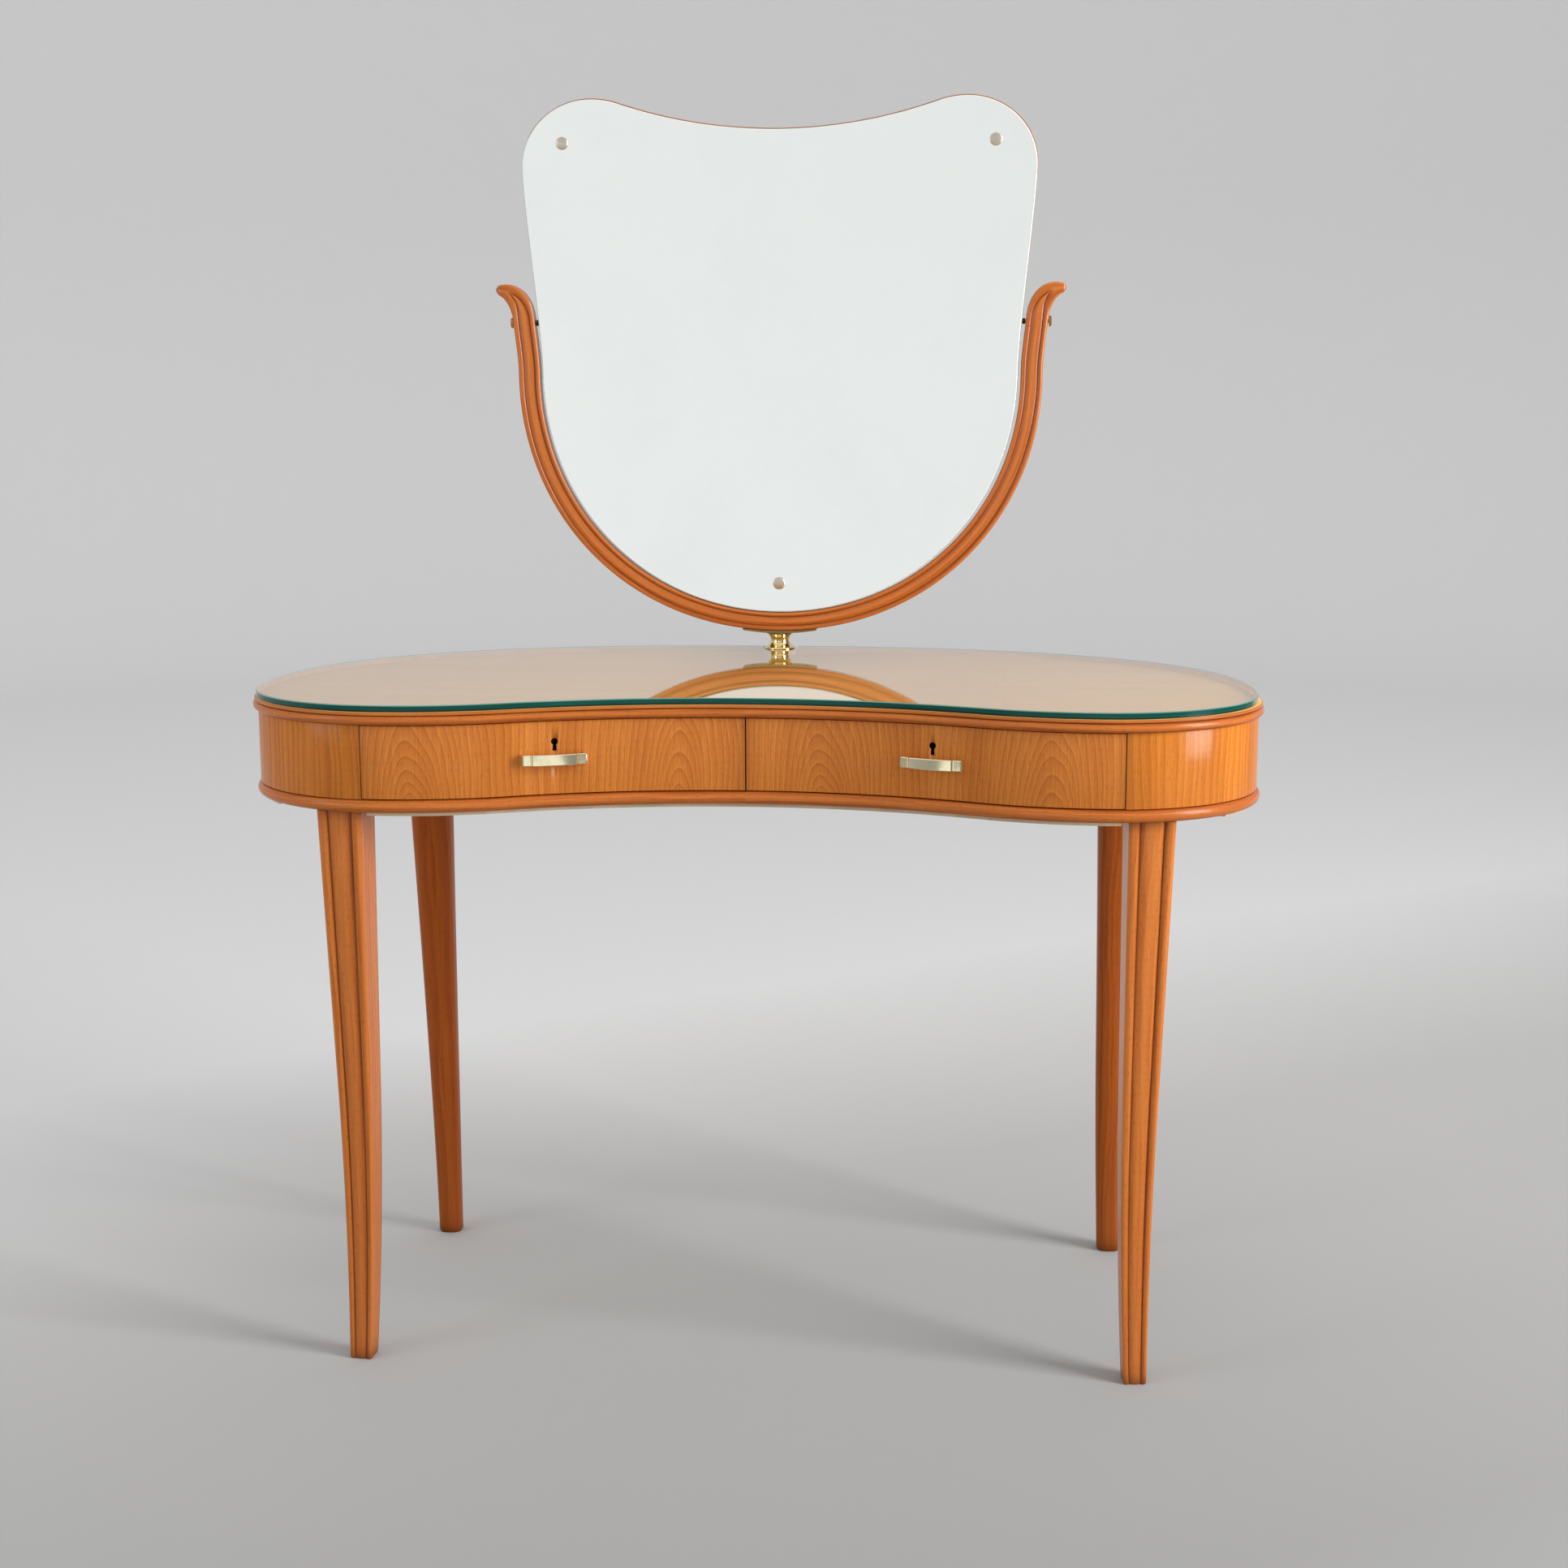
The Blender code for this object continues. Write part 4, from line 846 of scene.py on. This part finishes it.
def reeds(groove, counts, middle_depth, outer_depth, power):
    """Front of a unit section: three reeds between two grooves, and how far they and the outer ends fall off."""
    points = []
    for low, high, count in zip((-0.5, -groove, groove), (-groove, groove, 0.5), counts):
        for k, share in enumerate(steps(-1.0, 1.0, count)):
            outer = (low == -0.5 and share < 0) or (high == 0.5 and share > 0)
            sink = (outer_depth if outer else middle_depth) * abs(share) ** power
            if k or not points:
                points.append(((low + high) / 2 + (high - low) / 2 * share, -0.5 + sink))
    return points


def reeded_section():
    """Unit square section whose front is a wide reed between two narrow ones, with softened arrises."""
    points = reeds(GROOVE_U, (10, 20, 10), 0.066, 0.066, 2.6)
    back = [(0.5, -0.2), (0.5, 0.1), (0.5, 0.36)]
    back += [(0.36 + 0.14 * cos(a), 0.36 + 0.14 * sin(a)) for a in steps(0.0, pi / 2, 6)[1:]]
    back += [(0.12, 0.5)]
    return points + back + [(-x, y) for x, y in reversed(back)]


def rounded_section(count=64, power=2.7):
    points = []
    for i in range(count):
        angle = 2 * pi * (i + 0.5) / count - pi / 2
        c, s = cos(angle), sin(angle)
        points.append((0.5 * copysign(abs(c) ** (2 / power), c), 0.5 * copysign(abs(s) ** (2 / power), s)))
    return points


def leg_wear_and_light(z, corner, reeded):
    """Darkening and lightening at a height and a corner of the unit section, with painted shade over the lower leg and
    painted highlight along the reeds' crests.
    """
    u, v = corner
    # Darker at the foot and just under the base; the term that fades over 0.22 m is painted shade over the lower leg.
    grime_and_shade = 0.9 * exp(-z / 0.01) + 0.28 * exp(-z / 0.22) + 0.5 * exp(-(LEG_TOP_Z - z) / 0.006)
    rub_and_highlight = 0.5 * exp(-z / 0.05)
    # On the reeded front: darker in the grooves and lighter along the crests, where the lightening is partly rubbing,
    # partly painted highlight.
    if reeded and v < -0.4:
        grime_and_shade += 0.85 * exp(-((abs(u) - GROOVE_U) / 0.022) ** 2)
        rub_and_highlight += 0.75 * exp(-(u / 0.12) ** 2) + 0.9 * exp(-((abs(u) - 0.455) / 0.05) ** 2)
    return (min(grime_and_shade, 1.0), min(rub_and_highlight, 1.0))


def leg_centre(leg, z):
    down = 1 - z / LEG_TOP_Z
    flare = max(0.0, (down - leg["from"]) / (1 - leg["from"])) ** 2
    return [leg["top"][i] + leg["lean"][i] * down + leg["flare"][i] * flare for i in (0, 1)]


def make_legs():
    for side, word in SIDES:
        for end, leg, section, width, turn in (
                ("front", FRONT_LEG, reeded_section(), (0.0245, 0.0247, 0.92), FRONT_LEG_TURN),
                ("rear", REAR_LEG, rounded_section(), (0.0283, 0.0245, 1.35), 0.0)):
            rings, heights = [], [0.0, 0.0006, 0.0015, 0.003] + steps(0.012, LEG_TOP_Z, 48)
            angle = side * turn
            for z in heights:
                x, y = leg_centre(leg, z)
                size = (width[0] + width[1] * (z / LEG_TOP_Z) ** width[2]) * (0.93 + 0.07 * min(z / 0.003, 1.0) ** 0.5)
                rings.append([(side * x + size * (u * cos(angle) - v * sin(angle)),
                    y + size * (u * sin(angle) + v * cos(angle)), z) for u, v in section])
            around = lengths(rings[30], closed=True)
            piece = skin(f"{end}_{word}_sabre_leg", rings, [LEG_WOOD if end == "front" else SHADED_REAR_LEG_WOOD],
                lambda row, column, a=around, h=heights, s=0.3 * side, e=len(end) * 0.2: (a[column] + s + e, h[row]),
                cap_uv="xy", angle=32,
                wear_and_light_of=lambda row, column, h=heights, c=section, e=end: leg_wear_and_light(h[row], c[column], e == "front"))
            stand_for(piece, "table", "polished_wood", f"{end}_{word}_leg")


# ---- post and yoke ----

def bezier(points, t):
    weights = ((1 - t) ** 3, 3 * t * (1 - t) ** 2, 3 * t ** 2 * (1 - t), t ** 3)
    return [sum(w * p[i] for w, p in zip(weights, points)) for i in (0, 1)]


def yoke_stations():
    """Middle points, widths and the grooves' closing along the right arm, from the bottom to the tip."""
    stations = []
    low_width, high_width = YOKE_WIDTH
    for angle in steps(0.0, pi / 2, 60):
        x = YOKE_HALF_WIDTH * sin(angle) ** (2 / YOKE_POWER)
        z = YOKE_CENTRE_Z - YOKE_DROP * max(cos(angle), 0.0) ** (2 / YOKE_POWER)
        stations.append((x, z, low_width + (high_width - low_width) * sin(angle), 0.0))
    reach = CURL[0][0] - YOKE_HALF_WIDTH
    for share in steps(0.0, 1.0, 12)[1:-1]:
        stations.append((YOKE_HALF_WIDTH + reach * (1.98 * share ** 2 - 0.98 * share ** 3),
            YOKE_CENTRE_Z + (CURL[0][1] - YOKE_CENTRE_Z) * share, high_width, 0.0))
    rounding = [TIP_START + (1 - TIP_START) * share for share in (0.2, 0.4, 0.6, 0.75, 0.88, 0.96, 1.0)]
    for t in steps(0.0, TIP_START, 27) + rounding:
        x, z = bezier(CURL, t)
        blunt = max(1 - max((t - TIP_START) / (1 - TIP_START), 0.0) ** 2, 0.003) ** 0.5
        stations.append((x, z, high_width * (1 - 0.68 * t ** 3.4) * blunt, t))
    return stations


def groove_place(close):
    """Distance of the grooves from the middle of the yoke's face; they meet in a V near the tip."""
    meet = min(max(close / 0.7, 0.0), 1.0) ** 1.6
    return 0.24 * (1 - meet) + 0.012


def groove_fade(close):
    """1 along the arms; the grooves die out to 0 just before the tips."""
    return 1 - min(max((close - 0.62) / 0.14, 0.0), 1.0)


def yoke_wear_and_light(close, corner):
    u, v = corner
    if v > -0.4:
        return (0.0, 0.0)
    groove = groove_place(close)
    grime_and_shade = 0.8 * groove_fade(close) * exp(-((abs(u) - groove) / 0.028) ** 2)
    # Lighter along the middle reed's crest and the outer arrises: rubbing with painted highlight.
    rub_and_highlight = 0.7 * exp(-(u / 0.1) ** 2) + 0.8 * exp(-((abs(u) - 0.44) / 0.05) ** 2)
    return (grime_and_shade, rub_and_highlight)


def fluted_section(close):
    """Unit section of the yoke; its grooves run together and die out as close goes from 0 to 1."""
    groove = groove_place(close)
    depth = 0.078 * groove_fade(close)
    points = reeds(groove, (12, 18, 12), depth, 0.078, 2.4)
    sides = [(0.5, -0.3), (0.5, 0.0), (0.497, 0.2), (0.48, 0.36), (0.44, 0.45), (0.36, 0.5), (0.12, 0.5)]
    return points + sides + [(-u, v) for u, v in reversed(sides)]


def make_yoke():
    right = yoke_stations()
    path = [(-x, z, w, t) for x, z, w, t in reversed(right[1:])] + right
    rings = []
    for i, (x, z, width, close) in enumerate(path):
        before, after = path[max(i - 1, 0)], path[min(i + 1, len(path) - 1)]
        along = Vector((after[0] - before[0], after[1] - before[1])).normalized()
        out = Vector((along.y, -along.x))
        depth = YOKE_DEPTH * (0.4 + 0.6 * width / YOKE_WIDTH[1]) / (0.4 + 0.6 * YOKE_WIDTH[0] / YOKE_WIDTH[1])
        depth = min(depth, YOKE_DEPTH)
        rings.append([Vector((x + out.x * u * width, POST_Y + v * depth, z + out.y * u * width))
            for u, v in fluted_section(close)])
    along = lengths([(x, z) for x, z, *_ in path])
    around = lengths(rings[len(rings) // 2], closed=True)
    sections = [fluted_section(t) for *_, t in path]
    yoke = skin("fluted_yoke", rings, [YOKE_WOOD], lambda r, c: (around[c], along[r]), cap_uv="xz", angle=34,
        wear_and_light_of=lambda r, c: yoke_wear_and_light(path[r][3], sections[r][c]))
    stand_for(yoke, "yoke", "polished_wood", "mirror_yoke")


def yoke_underside(x, drop):
    reach = YOKE_DROP + YOKE_WIDTH[0] / 2 + drop
    half = YOKE_HALF_WIDTH + YOKE_WIDTH[1] / 2 + drop
    return YOKE_CENTRE_Z - reach * (1 - (abs(x) / half) ** YOKE_POWER) ** (1 / YOKE_POWER)


def strap_underside(x):
    return yoke_underside(x, STRAP_LIFT + STRAP_THICKNESS) - STRAP_SWELL * (1 - (x / STRAP_HALF) ** 2)


def make_strap_and_post():
    rings = []
    places = steps(-STRAP_HALF, STRAP_HALF, 40)
    ease = 0.0004
    half = STRAP_DEPTH / 2
    for x in places:
        high, low = yoke_underside(x, STRAP_LIFT), strap_underside(x)
        rings.append([(x, POST_Y + y, z) for y, z in (
            (-half + ease, low), (half - ease, low), (half, low + ease), (half, high - ease), (half - ease, high),
            (-half + ease, high), (-half, high - ease), (-half, low + ease))])
    strap = skin("brass_strap", rings, [SHADED_STRAP_BRASS], lambda r, c: (r * 0.002, c * 0.002), cap_uv="yz", angle=28)
    stand_for(strap, "yoke", "brass", "yoke_strap")
    for side, word in SIDES:
        x = side * 0.033
        low = strap_underside(x) - 0.0003
        profile = [(0, 0.76), (0.0015, 0.76), (0.0015, low), (0.003, low), (0.0031, low - 0.0001),
            (0.0029, low - 0.0002), (0.002, low - 0.0003), (0.001, low - 0.0003), (0, low - 0.0003)]
        screw = turned(f"{word}_strap_round_screw", profile, SHADED_STRAP_BRASS, (x, POST_Y, 0), segments=32)
        stand_for(screw, "yoke", "brass", f"{word}_strap_screw")
    foot = TOP_Z + GAP
    head = strap_underside(0) - 0.0006
    profile = []
    disc, waist = 0.0188, 0.0113
    neck = foot + 0.0093
    for share in steps(1.0, 0.0, 36):
        radius = waist + 0.005 * max(0.0, (share - 0.45) / 0.55) ** 2.2 + 0.0052 * max(0.0, (0.5 - share) / 0.5) ** 2.4
        profile.append((radius, neck + (head - neck) * share))
    profile += [(disc - 0.0012, neck - 0.0002), (disc - 0.0003, neck - 0.0008), (disc, neck - 0.0018),
        (disc - 0.0003, neck - 0.0028), (disc - 0.0008, neck - 0.0034), (disc - 0.001, foot)]
    bore = 0.0043
    profile = [(bore, head)] + profile + [(bore, foot)]
    post = turned("turned_post", profile, BRASS, (0, POST_Y, 0), segments=96, angle=40)
    stand_for(post, "table", "brass", "mirror_post")


# ---- mirror ----

def mirror_outline(margin):
    """Shield outline in the XZ plane, grown by margin, from the middle of its top round by the right."""
    shoulder_x, shoulder_z, dip_z = 0.2225, 1.378, 1.342
    widest_x, widest_z = 0.305, 1.3
    lower_x, lower_z, foot_z = 0.285, 1.06, 0.7725
    dip_radius = 0.6
    blend = 2 * atan2(shoulder_z - dip_z, shoulder_x)
    round_radius = shoulder_x / sin(blend) - dip_radius
    points = []
    for angle in steps(0.0, blend, 24):
        radius = dip_radius - margin
        points.append((radius * sin(angle), dip_z + dip_radius - radius * cos(angle)))
    for angle in steps(blend, 0.0, 10)[1:]:
        radius = round_radius + margin
        points.append((shoulder_x - radius * sin(angle), shoulder_z - round_radius + radius * cos(angle)))
    for angle in steps(0.0, pi / 2, 30)[1:]:
        points.append((shoulder_x + (widest_x - shoulder_x + margin) * sin(angle),
            widest_z + (shoulder_z - widest_z + margin) * cos(angle)))
    side = ((widest_x, widest_z), (widest_x, 1.255), (0.2862, 1.12), (lower_x, lower_z))
    for t in steps(0.0, 1.0, 26)[1:]:
        x, z = bezier(side, t)
        points.append((x + margin, z))
    for angle in steps(0.0, pi / 2, 52)[1:]:
        points.append(((lower_x + margin) * max(cos(angle), 0.0) ** (2 / LOWER_POWER),
            lower_z - (lower_z - foot_z + margin) * sin(angle) ** (2 / LOWER_POWER)))
    points[-1] = (0.0, points[-1][1])
    return points + [(-x, z) for x, z in reversed(points[1:-1])]


def board_outline(margin):
    """The board's outline: it stands a little proud of the glass along its top and is all but flush below."""
    points = []
    for low, high in zip(mirror_outline(BOARD_MARGIN[0] + margin), mirror_outline(BOARD_MARGIN[1] + margin)):
        share = min(max((low[1] - 1.29) / 0.05, 0.0), 1.0)
        points.append((low[0] + (high[0] - low[0]) * share, low[1] + (high[1] - low[1]) * share))
    return points


def upright(name, outline, profile, looks, slots, angle=35):
    """A shield plate from margin and y pairs. slots are the looks of its front, its edge's steps and its back."""
    rings = [[(x, y, z) for x, z in outline(margin)] for margin, y in profile]
    around = lengths(rings[0], closed=True)
    deep = [y for _, y in profile]
    plate = skin(name, rings, looks, lambda r, c: (deep[r], around[c]), cap_uv="xz",
        angle=angle, slot_of=lambda r, c: slots[1 + r])
    middle = (profile[0][1] + profile[-1][1]) / 2
    dress_caps(plate, lambda place: slots[0] if place.y < middle else slots[-1])
    return plate


def make_mirror():
    front, back = MIRROR_FRONT_Y, MIRROR_FRONT_Y + MIRROR_THICKNESS
    ground = 0.0011
    glass = upright("shield_mirror", mirror_outline,
        [(-ground, front), (-0.0001, front + ground * 0.6), (0.0, front + ground * 0.7),
        (0.0, back - 0.0004), (-0.0004, back)], [MIRROR, MIRROR_EDGE, MIRROR_BEVEL], (0, 2, 1, 1, 1, 1), angle=20)
    stand_for(glass, "mirror", "mirror", "mirror_glass")
    front = POST_Y - BOARD_THICKNESS / 2
    back = POST_Y + BOARD_THICKNESS / 2
    ease = 0.0008
    profile = [(-ease, front), (-ease * 0.3, front + ease * 0.3), (0.0, front + ease), (0.0, back - 0.0025),
        (-0.0007, back - 0.0008), (-0.0025, back)]
    board = upright("shield_board", board_outline, profile, [BOARD_WOOD], (0,) * 7, angle=50)
    stand_for(board, "mirror", "polished_wood", "mirror_backboard")
    for word, (x, z) in CAP_PLACES.items():
        face = MIRROR_FRONT_Y - GAP - POST_Y
        profile = [(0, face - 0.0023), (0.0064, face - 0.0022), (0.007, face - 0.0019), (0.0074, face - 0.0013),
            (0.0075, face - 0.0004), (0.0074, face), (0.002, face), (0.002, 0.001), (0, 0.001)]
        cap = turned(f"{word}_flat_cap", profile, NICKEL, (x, POST_Y, z), axis=(0, 1, 0), segments=48)
        stand_for(cap, "mirror", "nickel", f"{word}_mirror_cap")


# ---- CAD nodes that stay ----

def dress_cad_nodes():
    """Gives every CAD node that still shows its own procedural material."""
    raw = {axis: raw_wood(f"inner_wood_{axis}", axis) for axis in "xyz"}
    under = raw_wood("underside_wood", "x", tone=(0.66, 0.52, 0.35))
    looks = {"underside_panel": under, "swivel_stud": STEEL, "swivel_nut": STEEL, "centre_partition": raw["y"]}
    pairs = ((raw["y"], "{}_side_wall {}_kicker {}_drawer_inner_side {}_drawer_outer_side"),
        (raw["x"], "{}_drawer_bottom {}_drawer_back"), (raw["z"], "front_{}_leg_block rear_{}_leg_block"),
        (STEEL, "{}_inner_handle_screw {}_outer_handle_screw"), (DARK_STEEL, "{}_lock_case {}_pivot_spacer"),
        (BRASS, "{}_lock_bolt {}_pivot_bush"), (AGED_BRASS, "{}_pivot_bolt"))
    for look, names in pairs:
        for name in names.split():
            looks.update({name.format(word): look for _, word in SIDES})
    for name, look in looks.items():
        node = NODES[name]
        if not node.material_slots:
            node.data.materials.append(look)
        for slot in node.material_slots:
            slot.material = look


# ---- studio ----

def make_studio():
    """A round pale sweep: flat floor that curves up into a low wall all round."""
    bm = bmesh.new()
    floor_radius, bend, wall_height, sink = 5.2, 1.6, 4.6, 0.0002
    profile = [(0.0, 0.0), (2.0, 0.0), (floor_radius, 0.0)]
    profile += [(floor_radius + bend * sin(a), bend * (1 - cos(a))) for a in steps(0.0, pi / 2, 16)[1:]]
    profile.append((floor_radius + bend, wall_height))
    spin(bm, [(radius, height - sink) for radius, height in profile], 96)
    finish_mesh("studio_sweep", bm, [studio_surface()], angle=60)


def area_light(name, at, target, size, power, colour=(1.0, 1.0, 1.0)):
    data = bpy.data.lights.new(name, "AREA")
    data.shape = "RECTANGLE"
    data.size, data.size_y = size
    data.energy = power
    data.color = colour
    light = new_object(name, data)
    light.location = at
    light.rotation_euler = (Vector(target) - Vector(at)).to_track_quat("-Z", "Y").to_euler()
    light.visible_camera = False


def make_lights():
    world = bpy.data.worlds.new("studio_air")
    bpy.context.scene.world = world
    world.use_nodes = True
    background = world.node_tree.nodes["Background"]
    background.inputs["Color"].default_value = (1.0, 1.0, 1.0, 1.0)
    background.inputs["Strength"].default_value = 0.8
    area_light("key", (3.0, -1.25, 1.6), (0.1, -0.1, 0.85), (1.1, 2.5), 122, (1.0, 0.985, 0.96))
    area_light("fill", (-3.4, -2.4, 1.7), (0.0, 0.0, 0.8), (1.6, 2.2), 28)
    area_light("front", (-0.4, -5.6, 1.55), (-0.4, 0.0, 1.55), (6.4, 3.0), 34.5, (0.985, 1.0, 0.985))
    area_light("wall_wash", (-0.4, -5.7, 1.6), (-0.4, -7.0, 1.6), (6.4, 3.0), 15)
    area_light("floor_card", (0.0, -3.2, 0.03), (0.0, -3.19, 1.0), (3.4, 1.3), 9, (1.0, 0.995, 0.97))


def make_camera():
    data = bpy.data.cameras.new("camera")
    camera = new_object("camera", data)
    data.sensor_width = 36.0
    data.lens = 56.34
    turn, down, roll = (radians(angle) for angle in (5.074, 10.542, -0.209))
    camera.matrix_world = (Matrix.Translation((0.2681, -2.7375, 1.1127)) @ Matrix.Rotation(turn, 4, "Z")
        @ Matrix.Rotation(pi / 2 - down, 4, "X") @ Matrix.Rotation(roll, 4, "Z"))
    bpy.context.scene.camera = camera


make_boards()
make_glass()
make_panels()
make_drawer_fronts()
make_handles()
make_legs()
make_yoke()
make_strap_and_post()
make_mirror()
dress_cad_nodes()
make_studio()
make_lights()
make_camera()
bpy.context.scene.view_settings.view_transform = "Standard"
